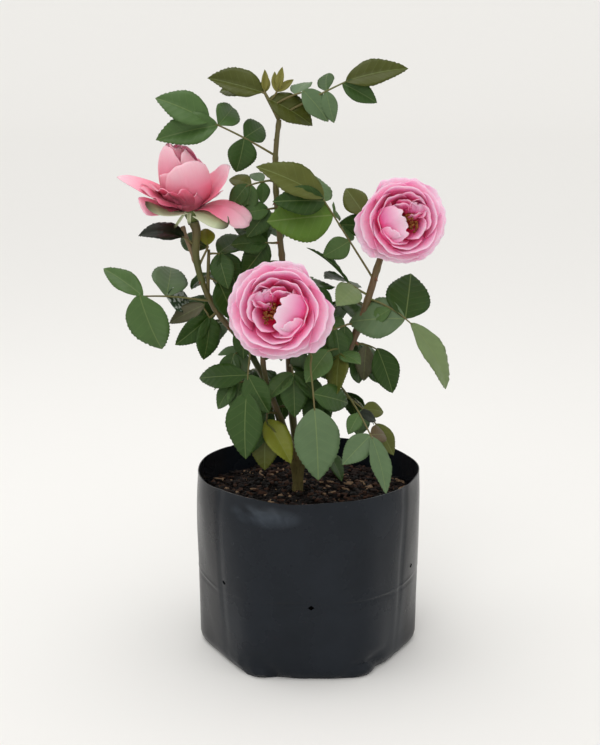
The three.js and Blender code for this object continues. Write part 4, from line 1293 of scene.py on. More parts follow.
def leaf_material(name, colour, vein_colour, roughness):
    """A leaf's skin with its midrib, side veins and fine net."""
    material, shader = new_material(name, roughness, Specular_IOR_Level=0.22)
    add = partial(add_node, material)
    place = add("UVMap", uv_map="place").outputs[0]
    parts = add("SeparateXYZ", {0: place})
    across = add("Math", {0: parts.outputs[1], 1: 0.5}, operation="SUBTRACT").outputs[0]
    spread = add("Math", {0: across}, operation="ABSOLUTE").outputs[0]
    slant = add("Math", {0: spread, 1: -VEIN_SLANT}, operation="MULTIPLY").outputs[0]
    run = add("Math", {0: parts.outputs[0], 1: slant}, operation="ADD").outputs[0]
    beat = add("Math", {0: run, 1: 0.5 / VEINS}, operation="PINGPONG").outputs[0]
    side_vein = add("MapRange", {0: beat, 1: 0.008, 2: 0.0, 4: 0.11}).outputs[0]
    midrib = add("MapRange", {0: spread, 1: 0.012, 2: 0.003, 4: 0.4}).outputs[0]
    veins = add("Math", {0: side_vein, 1: midrib}, operation="MAXIMUM").outputs[0]
    spot = add("TexCoord").outputs["Object"]
    cloud = add("TexNoise", {"Vector": spot, "Scale": 60, "Detail": 3}).outputs[0]
    shade = add("Mix", {0: cloud, 6: darker(colour, LEAF_SHADE), 7: linear(colour)}).outputs[2]
    if name.endswith("spotted"):
        drop = add("TexNoise", {"Vector": spot, "Scale": 240, "Detail": 2}).outputs[0]
        dried = add("MapRange", {0: drop, 1: 0.47, 2: 0.57, 4: 0.8}).outputs[0]
        shade = add("Mix", {0: dried, 6: shade, 7: linear(LIME)}).outputs[2]
    coat = add("Mix", {0: veins, 6: shade, 7: linear(vein_colour)}).outputs[2]
    feed(material, shader, "Base Color", coat)
    net = add("TexVoronoi", {"Vector": spot, "Scale": 900}, feature="DISTANCE_TO_EDGE").outputs[0]
    relief = add("Bump", {"Height": net, "Strength": 0.25, "Distance": 0.15 * MM})
    feed(material, shader, "Normal", relief.outputs[0])
    return material


# %% Mix every tint
tint_names = list(TINTS)
leaf_materials = [
    leaf_material("rose_leaf_" + name, colour, SHADOWED_LEAF_VEIN if name == "dark" else VEIN, 0.42)
    for name, colour in TINTS.items()
]
leaf_materials.append(leaf_material("rose_leaf_underside", UNDERSIDE, UNDERSIDE_VEIN, 0.65))
stalk = mottled("green_leaf_stalk", 0.55, linear("#55682f"), linear("#6f5632"), {"Scale": 30})
print(len(leaf_materials), "leaf finishes")

# %% [markdown]
# Each shoot becomes two pieces, its leaflets and its twigs. Where a row names no tint, one is dealt by
# seed: mostly deep and middle green, with some grey, shaded and olive ones.

# %% Build the foliage
DEAL = [(0.36, "deep"), (0.66, "mid"), (0.78, "grey"), (0.9, "shade"), (1.01, "olive")]
FOLIAGE_SEED = 900
STALK_RADII = (1.05, 0.65)
STALK_FOOT = 1.5
STALK_RINGS, STALK_SIDES = 12, 6
SPUR_RADII = (1.9, 1.6, 1.5, 1.45, 1.2)
SPUR_SIDES = 8

leaf_total = 0
for number, (name, shoot) in enumerate(grown.items()):
    random = seeded(FOLIAGE_SEED + number)
    blades, twigs = Gathering(), Gathering()
    for leaf in shoot["leaflets"]:
        draw = next(random)
        tint = leaf["tint"] or next(tint for limit, tint in DEAL if draw < limit)
        index = tint_names.index(tint)
        finishes = [len(TINTS) if part else index for part in leaf_template["finishes"]]
        blades.add(lay_leaflet(leaf, next(random)), leaf_template["faces"], finishes, leaf_places)
    for path in shoot["stalks"]:
        radii = np.linspace(*STALK_RADII, STALK_RINGS)
        radii[0] *= STALK_FOOT
        points, faces = stem_mesh(smooth_line(path, STALK_RINGS), radii, STALK_SIDES)
        twigs.add(points, faces, [0] * len(faces))
    if shoot["spur"]:
        points, faces = stem_mesh(smooth_line(shoot["spur"], len(SPUR_RADII)), SPUR_RADII, SPUR_SIDES)
        twigs.add(points, faces, [0] * len(faces))
    masses = [name] if name in SHOOTS else []
    twig = twigs.build(name + "_twigs", [stalk])
    dress(twig, "leaf", *masses)
    if shoot["leaflets"]:
        leaves = blades.build(name + "_leaves", leaf_materials)
        dress(leaves, "leaf", *masses)
        leaf_total += len(leaves.data.polygons)
print("leaf faces", leaf_total)

# %% [markdown]
# ## The canes and the stump
# Young rose wood is green under an olive-brown skin, swells a little where each leaf stood, and roughens
# towards the foot. Each cane is drawn as a curve with a round bevel, turned into a mesh, and its skin is
# then raised and sunk by noise. A short dry stem stands beside the left cane. It takes no room from the
# leaves, so it joins the canes only here.

# %% How thick a cane is
CANE_SAMPLES = 90
NODE_EVERY = 27
NODE_SWELL, NODE_LENGTH = 0.45, 2.2
NECK_FROM = 0.6
SKIN_ROUGH = 0.22
SKIN_LUMPS = (2, 2, 9)
ROUNDNESS = 5
SKIN_SHARE = {"centre": 0.78, "left": 0.68, "right": 0.88, "front": 0.62, "side": 1}
NECK_SWELL = {"left": 2.0, "right": -0.9}
CANES["side"] = dict(radii=(2.3, 1.7), through=[
    (-90, -8, 330), (-95, -8, 345), (-100, -7, 358), (-104, -6, 370)])


def plain_radius(name, share):
    """A cane's radius without its swellings, a little less than the model's."""
    low, high = CANES[name]["radii"]
    return (low + (high - low) * share) * SKIN_SHARE[name]


def cane_radius(name, share, run):
    """A cane's radius where it has run so many millimetres."""
    swell = NODE_SWELL * near((run % NODE_EVERY) - NODE_EVERY / 2, 0, NODE_LENGTH)
    swell += NECK_SWELL.get(name, 0) * max(0.0, (share - NECK_FROM) / (1 - NECK_FROM))
    return plain_radius(name, share) + swell


# %% Draw the canes
cane_pieces = {}
for name in CANES:
    curve = bpy.data.curves.new(name + "_cane_line", "CURVE")
    curve.dimensions = "3D"
    curve.bevel_depth = MM
    curve.bevel_resolution = ROUNDNESS
    curve.use_fill_caps = True
    line = curve.splines.new("POLY")
    line.points.add(CANE_SAMPLES - 1)
    run = 0.0
    before = cane_point(name, 0)
    for i in range(CANE_SAMPLES):
        share = i / (CANE_SAMPLES - 1)
        point = cane_point(name, share)
        run += (point - before).length
        before = point
        line.points[i].co = [*(point * MM), 1]
        line.points[i].radius = cane_radius(name, share, run)
    piece = bpy.data.objects.new(name + "_cane_bark", curve)
    bpy.context.collection.objects.link(piece)
    start_clean()
    bpy.context.view_layer.objects.active = piece
    piece.select_set(True)
    bpy.ops.object.convert(target="MESH")
    piece = bpy.context.object
    for v in piece.data.vertices:
        skin = noise.noise(Vector([c / wide for c, wide in zip(v.co / MM, SKIN_LUMPS)]))
        v.co += v.normal * (SKIN_ROUGH * skin * MM)
    bpy.ops.object.shade_smooth()
    cane_pieces[name] = piece
print(len(cane_pieces), "canes drawn")

# %% [markdown]
# The stump is the knobbly union where the rose was budded. It flares where it goes into the soil, narrows
# above it and swells again where the canes leave it as three lobes.

# %% Model the stump
STUMP_SIDES, STUMP_BANDS = 40, 16
STUMP_HEART = 6.6
STUMP_SKIN = 0.8
STEM_LOBES, LOBES_START = 3, 0.8
# Each pair: a share of the stump's height and the width there.
STUMP_FLARE = ((0, 0.9), (0.2, 0.64), (0.6, 0.76), (1, 0.98))
KNOBS, RIDGES = 1.4, 0.7
ROOTED, ROOT_SHARE = 7, 8
BARK_ANGLE = 60

start_clean()
bpy.ops.mesh.primitive_cylinder_add(
    vertices=STUMP_SIDES, radius=1, depth=STUMP_HEIGHT * MM,
    location=(0, 0, (SOIL_LEVEL + GAP + STUMP_HEIGHT / 2) * MM), end_fill_type="TRIFAN",
)
stump = bpy.context.object
stump.name = "stump_bark"
apply_place(stump)
edit(stump)
for cut in range(1, STUMP_BANDS):
    level = SOIL_LEVEL + GAP + STUMP_HEIGHT * cut / STUMP_BANDS
    bpy.ops.mesh.select_all(action="SELECT")
    bpy.ops.mesh.bisect(plane_co=(0, 0, level * MM), plane_no=(0, 0, 1))
bpy.ops.object.mode_set(mode="OBJECT")
for v in stump.data.vertices:
    share = (v.co.z / MM - SOIL_LEVEL - GAP) / STUMP_HEIGHT
    flare = np.interp(share, *zip(*STUMP_FLARE))
    turn = math.atan2(v.co.y, v.co.x)
    stems = STEM_LOBES * max(0.0, math.cos(3 * turn + LOBES_START)) * share ** 0.5
    radius = v.co.xy.length * (STUMP_HEART * flare + stems)
    rough = KNOBS * round_noise(turn, 2, share * 3) + RIDGES * round_noise(turn, 7, share * 4)
    radius = max(0.0, radius + (rough * v.co.xy.length - STUMP_SKIN))
    sunk = ROOTED * max(0.0, 1 - ROOT_SHARE * share)
    x, y = ROOT_X + math.cos(turn) * radius, ROOT_Y + math.sin(turn) * radius
    v.co = Vector((x, y, v.co.z / MM - sunk)) * MM
bpy.ops.object.shade_smooth_by_angle(angle=math.radians(BARK_ANGLE))
print("stump", len(stump.data.polygons), "faces")

# %% [markdown]
# A prickle is a flat hooked cone that points down the cane. One is modelled from a cone bent by moving its
# rings, and copies stand along each cane.

# %% Model one prickle
PRICKLE_RADIUS = 0.34
PRICKLE_SHAPE = (1.25, 0.55, 1)
# Each pair: a share of the prickle's length and how far it hooks down there.
PRICKLE_BENDS = ((0.25, 0.02), (0.5, 0.08), (0.75, 0.2), (1.0, 0.4))

start_clean()
bpy.ops.mesh.primitive_cone_add(vertices=10, radius1=PRICKLE_RADIUS, radius2=0, depth=1,
                                location=(0, 0, 0.5))
thorn = bpy.context.object
apply_place(thorn)
edit(thorn)
for cut, _ in PRICKLE_BENDS[:-1]:
    bpy.ops.mesh.select_all(action="SELECT")
    bpy.ops.mesh.bisect(plane_co=(0, 0, cut), plane_no=(0, 0, 1))
for cut, drop in PRICKLE_BENDS:
    pick(thorn, lambda co: abs(co.z - cut) < 1e-3)
    bpy.ops.transform.translate(value=(-drop, 0, 0))
pick(thorn, lambda co: True)
bpy.ops.transform.resize(value=PRICKLE_SHAPE)
bpy.ops.object.mode_set(mode="OBJECT")
thorn_template = read_template(thorn)
print("prickle", len(thorn_template["faces"]), "faces")

# %% Set the prickles on the canes
PRICKLES = {"centre": 13, "left": 9, "right": 9, "front": 5}
PRICKLE_SEED = 52
PRICKLES_FROM, PRICKLES_SPAN, PRICKLE_SHIFT = 0.08, 0.86, 0.6
PRICKLE_SIZE, PRICKLE_LEAST, PRICKLE_RANGE = 4.2, 0.7, 0.5
PRICKLE_SUNK = 0.5
STEP = 0.01

random = seeded(PRICKLE_SEED)
prickles = Gathering()
for name, count in PRICKLES.items():
    for i in range(count):
        share = PRICKLES_FROM + PRICKLES_SPAN * (i + PRICKLE_SHIFT * next(random)) / count
        along = (cane_point(name, min(1, share + STEP)) - cane_point(name, max(0, share - STEP))).normalized()
        out = aim(next(random) * 360, 0)
        out = (out - along * out.dot(along)).normalized()
        foot = cane_point(name, share) + out * (plain_radius(name, share) - PRICKLE_SUNK)
        axes = np.array([along[:], out.cross(along)[:], out[:]])
        size = PRICKLE_SIZE * (PRICKLE_LEAST + PRICKLE_RANGE * next(random))
        prickles.add(thorn_template["points"] @ axes * size + np.array(foot[:]), thorn_template["faces"],
                     [0] * len(thorn_template["faces"]))
print(sum(PRICKLES.values()), "prickles")

# %% [markdown]
# Cane skin is satin and streaked along its length, green where it is young and brown where it has ripened.
# On the stump it is dull, grey-brown and cracked, and a prickle is smooth red-brown horn. The streaks are
# drawn 3 mm wide and 18 mm long, coarser than real ones so that they show, and the stump's cracks are 4 mm
# by 11 mm.

# %% Cane skin
BROWN_FADE = 0.22


def cane_skin(name, dark_green, pale_green, brown_from):
    """Green skin with brown patches, which start where the patch pattern passes a limit."""
    skin, shader = new_material(name, 0.5)
    add = partial(add_node, skin)
    place = add("TexCoord").outputs["Object"]
    drawn = add("Mapping", {"Vector": place, "Scale": (320, 320, 55)}).outputs[0]
    streak = add("TexNoise", {"Vector": drawn, "Scale": 1.0, "Detail": 5}).outputs[0]
    patch = add("TexNoise", {"Vector": place, "Scale": 22, "Detail": 3}).outputs[0]
    green = add("Mix", {0: streak, 6: linear(dark_green), 7: linear(pale_green)})
    brown = add("Mix", {0: streak, 6: linear("#43301a"), 7: linear("#755a36")})
    patchy = add("MapRange", {0: patch, 1: brown_from, 2: brown_from + BROWN_FADE}).outputs[0]
    coat = add("Mix", {0: patchy, 6: green.outputs[2], 7: brown.outputs[2]}).outputs[2]
    feed(skin, shader, "Base Color", coat)
    relief = add("Bump", {"Height": streak, "Strength": 0.5, "Distance": 0.4 * MM})
    feed(skin, shader, "Normal", relief.outputs[0])
    return skin


ripe_skin = cane_skin("ripe_cane_skin", "#46451f", "#716a38", 0.4)
young_skin = cane_skin("young_cane_skin", "#31360f", "#5b6024", 0.45)
brown_skin = cane_skin("brown_cane_skin", "#46451f", "#716a38", 0.26)
dry_skin = cane_skin("dry_stem_skin", "#5b4a30", "#94785a", 0.6)
SKINS = {"centre": ripe_skin, "left": young_skin, "right": brown_skin, "front": young_skin, "side": dry_skin}
print(len(set(SKINS.values())), "cane skins")

# %% Bark, horn, and what each cane stands for
bark = mottled("old_rose_bark", 0.85, linear("#38321a"), linear("#837846"),
               {"Scale": 1.0, "Detail": 6, "Roughness": 0.65}, stretch=(260, 260, 90), bump=(0.9, 1.0),
               Specular_IOR_Level=0.3)
horn = mottled("prickle_horn", 0.45, linear("#6a3d28"), linear("#8c5f40"), {"Scale": 160})
for name, piece in cane_pieces.items():
    piece.data.materials.append(SKINS[name])
    dress(piece, "bark", *([] if name == "side" else [name + "_cane"]))
stump.data.materials.append(bark)
dress(stump, "bark", "stump")
thorns = prickles.build("cane_prickles", [horn])
dress(thorns, "bark")
print("canes, stump and prickles dressed")

# %% [markdown]
# ## A petal
# Every petal starts as one grid, narrow at its claw and rounded at its rim, with a thin back. A copy is
# bent three ways: along its length from its first lean to its last with a lip rolled out at the rim, across
# into a cup that is open towards the bloom's heart, and at the rim into ruffles.

# %% Model the petal
PETAL_ROWS = 20
PETAL_COLUMNS = 26
# Each pair: a share of the petal's length and its half width there, where 1 is the broadest.
PETAL_WIDTHS = ((0, 0.3), (0.25, 0.66), (0.5, 0.92), (0.72, 1), (0.9, 0.93), (1, 0.8))
PETAL_THICK = 0.014

start_clean()
bpy.ops.mesh.primitive_grid_add(
    x_subdivisions=PETAL_ROWS, y_subdivisions=PETAL_COLUMNS, size=1, location=(0.5, 0, 0))
sheet = bpy.context.object
apply_place(sheet)
rows = sorted({round(v.co.x, 5) for v in sheet.data.vertices})
edit(sheet)
for x in rows:
    pick(sheet, lambda co: abs(co.x - x) < SAME_ROW)
    bpy.ops.transform.resize(value=(1, 2 * np.interp(x, *zip(*PETAL_WIDTHS)), 1), center_override=(x, 0, 0))
bpy.ops.object.mode_set(mode="OBJECT")
add_modifier(sheet, "SOLIDIFY", thickness=PETAL_THICK, offset=-1, material_offset=1)
petal_template = read_template(sheet)
print("petal", len(petal_template["faces"]), "faces")

# %% [markdown]
# Each petal has a row of its own. Turn is its side of the bloom, aside moves its centre, foot is how far
# out it stands and base how high, length and half width are in millimetres, and lean is its angle from the
# bloom's axis at the claw and at the rim. Lip, cup, ruffle, waves and twist bend it, notch, point and
# scallop cut its rim, and tone runs from 0 for a pale petal to 1 for a deep one.

# %% A petal's plain row
PETAL = dict(turn=0, aside=(0, 0), foot=3, base=0, length=36, half=20, lean=(20, 70), lip=20, cup=70,
             ruffle=0.7, waves=2.4, notch=0.2, point=2.6, scallop=0.012, twist=0, tone=0.5)
PETAL_STEPS = 40
ROLL_FROM, ROLL_POWER = 0.8, 1.5
SCALLOPS, SLOW_SCALLOPS = 5, 2.7
SCALLOP_SHARE, SLOW_SHARE = 0.6, 0.4
RUFFLE_RISE, FRILL_RISE = 3, 9
PHASE_TURN = 0.11
CUP_FROM = 1.6
RIM_FRILL = 0.14
KEEL, KEEL_WIDTH = 0.12, 0.25
BACK_GAP = 40


def petal_profile(row):
    """A petal's way out and up and its lean, each at even shares of its length from claw to rim."""
    low, high = (math.radians(lean) for lean in row["lean"])
    shares = np.linspace(0, 1, PETAL_STEPS + 1)
    rolled = np.maximum(0, (shares - ROLL_FROM) / (1 - ROLL_FROM)) ** ROLL_POWER
    lean = low + (high - low) * shares + math.radians(row["lip"]) * rolled
    step = row["length"] / PETAL_STEPS
    radius = row["foot"] + np.concatenate([[0], np.cumsum(np.sin(lean[:-1]) * step)])
    height = row["base"] + np.concatenate([[0], np.cumsum(np.cos(lean[:-1]) * step)])
    return shares, radius, height, lean


# %% Bend a petal into its place
def lay_petal(axes, given, mirror, scale):
    """The points of one petal on a bloom's axes, and their places from side to side and from claw to rim."""
    row = {**PETAL, **given}
    at, across, up, axis = (np.array(way[:]) for way in axes)
    along, side, thick = petal_template["points"].T
    u = np.clip(side, -1, 1)
    phase = row["turn"] * PHASE_TURN + row["length"]
    edge = (SCALLOP_SHARE * np.sin(math.pi * SCALLOPS * u + phase)
            + SLOW_SHARE * np.sin(math.pi * SLOW_SCALLOPS * u + 2 * phase))
    s = along * (1 - row["notch"] * np.abs(u) ** row["point"] - row["scallop"] * edge)
    shares, *profile = petal_profile(row)
    r, h, tilt = (np.interp(s, shares, values) for values in profile)
    arc = math.radians(row["cup"]) / 2
    bow = row["half"] / arc
    sideways = bow * np.sin(u * arc)
    rise = bow * (1 - np.cos(u * arc)) * np.minimum(1, s * CUP_FROM)
    ruffle = row["ruffle"] * s ** RUFFLE_RISE * np.sin(math.pi * row["waves"] * u + phase)
    rise = rise + ruffle + row["twist"] * u * s
    frill = RIM_FRILL * row["ruffle"] * s ** FRILL_RISE * np.sin(math.pi * SCALLOPS * u + 2 * phase)
    rise = rise + frill
    rise = rise + KEEL * row["half"] * np.maximum(0, 1 - np.abs(u) / KEEL_WIDTH) ** 2 * s * (1 - s)
    rise = rise + thick * BACK_GAP
    r = r - np.cos(tilt) * rise
    h = h + np.sin(tilt) * rise
    turn = math.radians(row["turn"])
    x = (row["aside"][0] + r * math.cos(turn) - sideways * math.sin(turn)) * mirror
    y = row["aside"][1] + r * math.sin(turn) + sideways * math.cos(turn)
    points = at + scale * (across * x[:, None] + up * y[:, None] + axis * h[:, None])
    return points, np.stack([0.5 + 0.5 * u, s], axis=1)


# %% [markdown]
# ## The open blooms
# Both open blooms are of the old quartered kind: pale outer petals laid back like a saucer, deeper cups
# inside them, and a heart of folded petals parted over brown stamens. The second bloom is the first one
# mirrored and smaller, as two blooms of one bush are.


# %% The petals of an open bloom
RING_SEED = 7
RING_SHIFT = 12


def ring(turn, lengths, **given):
    """Petals of given lengths spaced round the bloom, each a little off its even place."""
    random = seeded(RING_SEED + turn)
    for i, length in enumerate(lengths):
        shift = (next(random) - 0.5) * RING_SHIFT
        yield {**PETAL, **given, "turn": turn + i * 360 / len(lengths) + shift, "length": length}


OPEN_BLOOM = [
    *ring(97, (37, 40, 40, 38, 43, 33), foot=4, base=1, half=25, lean=(62, 82), lip=6, cup=40, ruffle=1.5,
          tone=0.0, scallop=0.025, waves=2, twist=2.2),
    *ring(60, (36, 38, 40, 38, 41), foot=4, base=1.5, half=25, lean=(70, 46), lip=24, cup=62, ruffle=1.1,
          tone=0.12, scallop=0.02, waves=2, twist=2.4),
    *ring(20, (42, 42, 41, 43, 42), foot=4, base=2, half=25, lean=(72, 8), lip=22, cup=92, tone=0.35,
          waves=2, twist=2.2),
    dict(turn=172, foot=8, base=4, length=32, half=17, lean=(52, 2), lip=75, cup=110, tone=0.55),
    dict(turn=212, foot=7, base=5, length=30, half=15, lean=(46, 0), lip=80, cup=105),
    dict(turn=262, foot=8, base=3, length=33, half=19, lean=(56, 8), lip=34, cup=100, tone=0.6),
    dict(turn=296, foot=8, base=4, length=29, half=16, lean=(50, 6), lip=34, cup=100, tone=0.7),
    dict(turn=356, foot=9, base=3, length=27, half=18, lean=(60, 0), cup=100),
    dict(turn=112, foot=8, base=4, length=32, half=17, lean=(52, 12), lip=26, cup=96, tone=0.8),
    dict(turn=60, foot=8, base=4, length=31, half=16, lean=(50, 10), lip=34, cup=96, tone=0.75),
    dict(turn=104, foot=5, base=7, length=25, half=11, lean=(36, 26), lip=24, cup=60, tone=0.85,
         twist=2),
    dict(turn=76, foot=4, base=8, length=25, half=11, lean=(30, 22), lip=40, tone=0.8, twist=2),
    dict(turn=48, foot=5, base=7, length=24, half=10, lean=(34, 20), lip=40, tone=0.75, twist=2),
    dict(turn=28, foot=21, base=7, length=20, half=10, lean=(4, -40), lip=-10, cup=20, tone=0.05),
    dict(turn=120, aside=(-11.5, 9.5), foot=5, base=6, length=24, half=10, lean=(16, 2), lip=40, cup=140,
         tone=0.8),
    dict(turn=195, aside=(-11.5, 9.5), foot=5, base=6, length=23, half=9, lean=(16, 0), lip=60, cup=140,
         tone=0.6),
    dict(turn=50, aside=(-11.5, 9.5), foot=4, base=6, length=23, half=8, lean=(12, 0), lip=40, cup=140,
         tone=0.8),
    dict(turn=292, aside=(-11.5, 9), foot=7, base=9, length=25, half=9.5, lean=(2, -74), lip=-6, cup=50,
         scallop=0.06),
    dict(turn=256, aside=(-12, 8), foot=8, base=8, length=19, half=9, lean=(6, -46), lip=10, cup=80,
         tone=0.6),
    dict(turn=340, foot=25, base=6, length=41, half=18, lean=(-8, -80), lip=-4, cup=24, tone=0.0,
         scallop=0.06, waves=2, ruffle=1.2),
    dict(turn=306, foot=27, base=6, length=31, half=12, lean=(-4, -58), lip=10, cup=50, tone=0.15,
         scallop=0.04),
]
print(len(OPEN_BLOOM), "petals in an open bloom")

# %% [markdown]
# Petals are soft and slightly see-through, so light enters them and they are never glossy. Colour runs from
# a deep pink claw to a nearly white rim, and the inner petals are deeper all over. The last tenth by the rim
# is paled further, a painted highlight for the light that comes through the thin edge. The veins are
# streaks, some 46 from side to side. The half-open bloom is older pink, with a dark claw.

# %% Petal finishes
TONE_SHIFT = 0.36


def petal_material(name, claw, body, rim):
    """A petal's skin, graded along its place map from claw to rim and streaked along its veins."""
    material, shader = new_material(name, 0.55, Subsurface_Weight=0.45, Subsurface_Scale=4 * MM)
    add = partial(add_node, material)
    shader.inputs["Subsurface Radius"].default_value = (1.0, 0.45, 0.6)
    shader.inputs["Sheen Weight"].default_value = 0.1
    place = add("UVMap", uv_map="place").outputs[0]
    parts = add("SeparateXYZ", {0: place})
    tone = add("Attribute", attribute_name="tone").outputs["Fac"]
    held = add("Math", {0: tone, 1: -TONE_SHIFT}, operation="MULTIPLY").outputs[0]
    along = add("Math", {0: parts.outputs[1], 1: held}, operation="ADD").outputs[0]
    low = add("MapRange", {0: along, 1: 0.0, 2: 0.5}).outputs[0]
    high = add("MapRange", {0: along, 1: 0.45, 2: 0.95}).outputs[0]
    first = add("Mix", {0: low, 6: linear(claw), 7: linear(body)}).outputs[2]
    graded = add("Mix", {0: high, 6: first, 7: linear(rim)}).outputs[2]
    # Painted highlight: the last tenth by the rim is paled further, for light through the thin edge.
    lip = add("MapRange", {0: parts.outputs[1], 1: 0.9, 2: 1.0, 4: 0.6}).outputs[0]
    rim_highlighted = add("Mix", {0: lip, 6: graded, 7: linear(rim)}).outputs[2]
    lines = add("Mapping", {"Vector": place, "Scale": (46, 3, 1)}).outputs[0]
    streak = add("TexNoise", {"Vector": lines, "Scale": 1.0, "Detail": 3}).outputs[0]
    streaked = add("MapRange", {0: streak, 1: 0.45, 2: 0.75, 3: 0.0, 4: 0.16}).outputs[0]
    coat = add("Mix", {0: streaked, 6: rim_highlighted, 7: linear(body)}).outputs[2]
    feed(material, shader, "Base Color", coat)
    relief = add("Bump", {"Height": streak, "Strength": 0.2, "Distance": 0.2 * MM})
    feed(material, shader, "Normal", relief.outputs[0])
    return material


pink = [petal_material("rose_petal_face", "#ff1c68", "#ff6eac", "#fbd0e4"),
        petal_material("rose_petal_back", "#f0609c", "#f7a0ca", "#fad6e8")]
blush = [petal_material("blush_petal_face", "#952a44", "#f07690", "#f8bfca"),
         petal_material("blush_petal_back", "#a2364f", "#ec7e96", "#f4b0bf")]
print(len(pink) + len(blush), "petal finishes")

# %% Build the open blooms
OPEN_SIZES = {"bloom_front": (1, 1.0), "bloom_right": (-1, 0.885)}


def build_bloom(name, rows, mirror, scale, materials):
    """Joins a bloom's petals into one piece. A mirrored petal has its faces turned back outwards."""
    petals = Gathering()
    for row in rows:
        points, places = lay_petal(bloom_axes(name), row, mirror, scale)
        faces = [face[::mirror] for face in petal_template["faces"]]
        petals.add(points, faces, petal_template["finishes"], places, {**PETAL, **row}["tone"])
    dress(petals.build(name + "_petals", materials), "petal", name)
    print(name, len(rows), "petals")


for name, (mirror, scale) in OPEN_SIZES.items():
    build_bloom(name, OPEN_BLOOM, mirror, scale, pink)

# %% [markdown]
# ## The half-open bloom
# The third bloom is seen from its side. Its outer petals have let go one by one and hang out level, and the
# rest are still wrapped in a pointed bud.

# %% The petals of the half-open bloom
HALF_OPEN = [
    dict(turn=238, foot=4, length=62, lean=(52, -50), lip=6, cup=160, tone=0.3, ruffle=0.3, notch=0.4,
         point=1.7),
    dict(turn=306, foot=4, length=61, half=22, lean=(53, -50), lip=8, cup=150, tone=0.3, ruffle=0.4,
         notch=0.42, point=1.6, twist=2),
    dict(turn=80, foot=4, length=53, half=21, lean=(52, -50), cup=150, tone=0.35, ruffle=0.5),
    dict(turn=150, foot=4, length=57, half=21, lean=(52, -50), lip=16, cup=150, tone=0.4, ruffle=0.5),
    dict(turn=20, foot=2, base=4, length=49, half=13, lean=(36, -40), lip=24, cup=180, tone=0.9),
    dict(turn=270, foot=1, base=4, length=53, half=11, lean=(32, -30), cup=190, tone=1.0),
    dict(turn=150, foot=1, base=4, length=50, half=10, lean=(30, -30), cup=190, tone=1.0),
    dict(turn=16, foot=4, base=-1, length=47, half=24, lean=(68, -28), lip=10, cup=120, tone=0.1,
         ruffle=0.5),
    dict(turn=322, foot=4, base=-1, length=41, half=17, lean=(68, -26), lip=44, cup=120, tone=0.7,
         ruffle=0.6),
    dict(turn=160, foot=4, base=-1, length=46, half=22, lean=(66, -22), cup=120, tone=0.2),
    dict(turn=268, foot=4, base=1, length=61, half=21, lean=(40, 64), lip=8, cup=-24, tone=0.0, ruffle=0.5,
         notch=0.85, point=1.15, twist=-15),
    dict(turn=96, foot=4, length=45, half=22, lean=(68, 34), lip=64, cup=40, tone=0.05, ruffle=0.6,
         notch=0.5, point=1.5, twist=8),
    dict(turn=72, foot=4, base=-3, length=51, half=16, lean=(72, 168), lip=6, cup=-30, tone=0.0,
         ruffle=1.0, notch=0.34, twist=9),
    dict(turn=288, foot=4, base=-1, length=40, half=10, lean=(62, 76), lip=4, cup=-30, tone=0.7,
         ruffle=0.5, notch=0.1, twist=-9),
    dict(turn=300, foot=5, base=2, length=39, half=17, lean=(58, 48), lip=60, cup=-20, tone=1.5,
         ruffle=2.0, twist=-11),
    dict(turn=312, foot=5, base=2, length=34, half=16, lean=(64, 24), lip=90, cup=40, tone=1.6, ruffle=1.8,
         twist=-6),
    dict(turn=334, foot=5, length=29, half=14, lean=(76, 16), lip=80, cup=60, tone=1.5, ruffle=1.4),
    dict(turn=4, foot=5, base=-2, length=21, half=11, lean=(76, 10), lip=70, cup=80, tone=1.2,
         ruffle=1.0),
    dict(turn=200, foot=4, base=-2, length=42, lean=(70, 74), cup=60, tone=0.2, ruffle=1.2),
    dict(turn=150, foot=4, base=-2, length=40, half=17, lean=(76, 96), cup=50, tone=0.2, ruffle=1.2),
]
build_bloom("bloom_left", HALF_OPEN, 1, 1.0, blush)

# %% [markdown]
# ## Stamens, hips and sepals
# Behind each bloom is its green hip with its sepals folded back, and in the heart of an open one is a tuft
# of stamens. A stamen is a thin red thread with a two-lobed anther, brown and mealy with pollen.

# %% Model one anther
ANTHER_SHAPE = (0.55, 0.8, 1.15)
GROOVE_SHAPE, GROOVE_HALF = (0.75, 1, 1), 0.1

start_clean()
bpy.ops.mesh.primitive_uv_sphere_add(segments=8, ring_count=6, radius=1)
anther = bpy.context.object
edit(anther)
pick(anther, lambda co: True)
bpy.ops.transform.resize(value=ANTHER_SHAPE)
pick(anther, lambda co: abs(co.y) < GROOVE_HALF)
bpy.ops.transform.resize(value=GROOVE_SHAPE)
bpy.ops.object.mode_set(mode="OBJECT")
anther_template = read_template(anther)
# Blender lists a sphere's faces in another order each run, so they are sorted.
anther_template["faces"].sort()
thread = mottled("stamen_thread", 0.5, linear("#b23c34"), linear("#d8744c"), {"Scale": 300})
pollen = mottled("anther_pollen", 0.8, linear("#5a2a14"), linear("#b0762c"), {"Scale": 500})
print("anther", len(anther_template["faces"]), "faces")

# %% Stamens
STAMENS = 46
STAMEN_SEED = 31
TUFT_X, TUFT_Y = -8, -2
TUFT_REACH, TUFT_WIDE, TUFT_LEAN, TUFT_TALL = 7.5, 0.55, 0.35, 1.25
THREAD_FOOT, THREAD_BOW = 5, 14
FOOT_SPREAD, BOW_SPREAD = 0.5, 1.1
HEAD_FROM, HEAD_RANGE, HEAD_SHIFT = 19, 5, 2
THREAD_RADII = (0.38, 0.34, 0.3, 0.3, 0.28, 0.25)
THREAD_SIDES = 5
ANTHER_LEAST, ANTHER_RANGE, ANTHER_NOD = 0.8, 0.5, 0.4

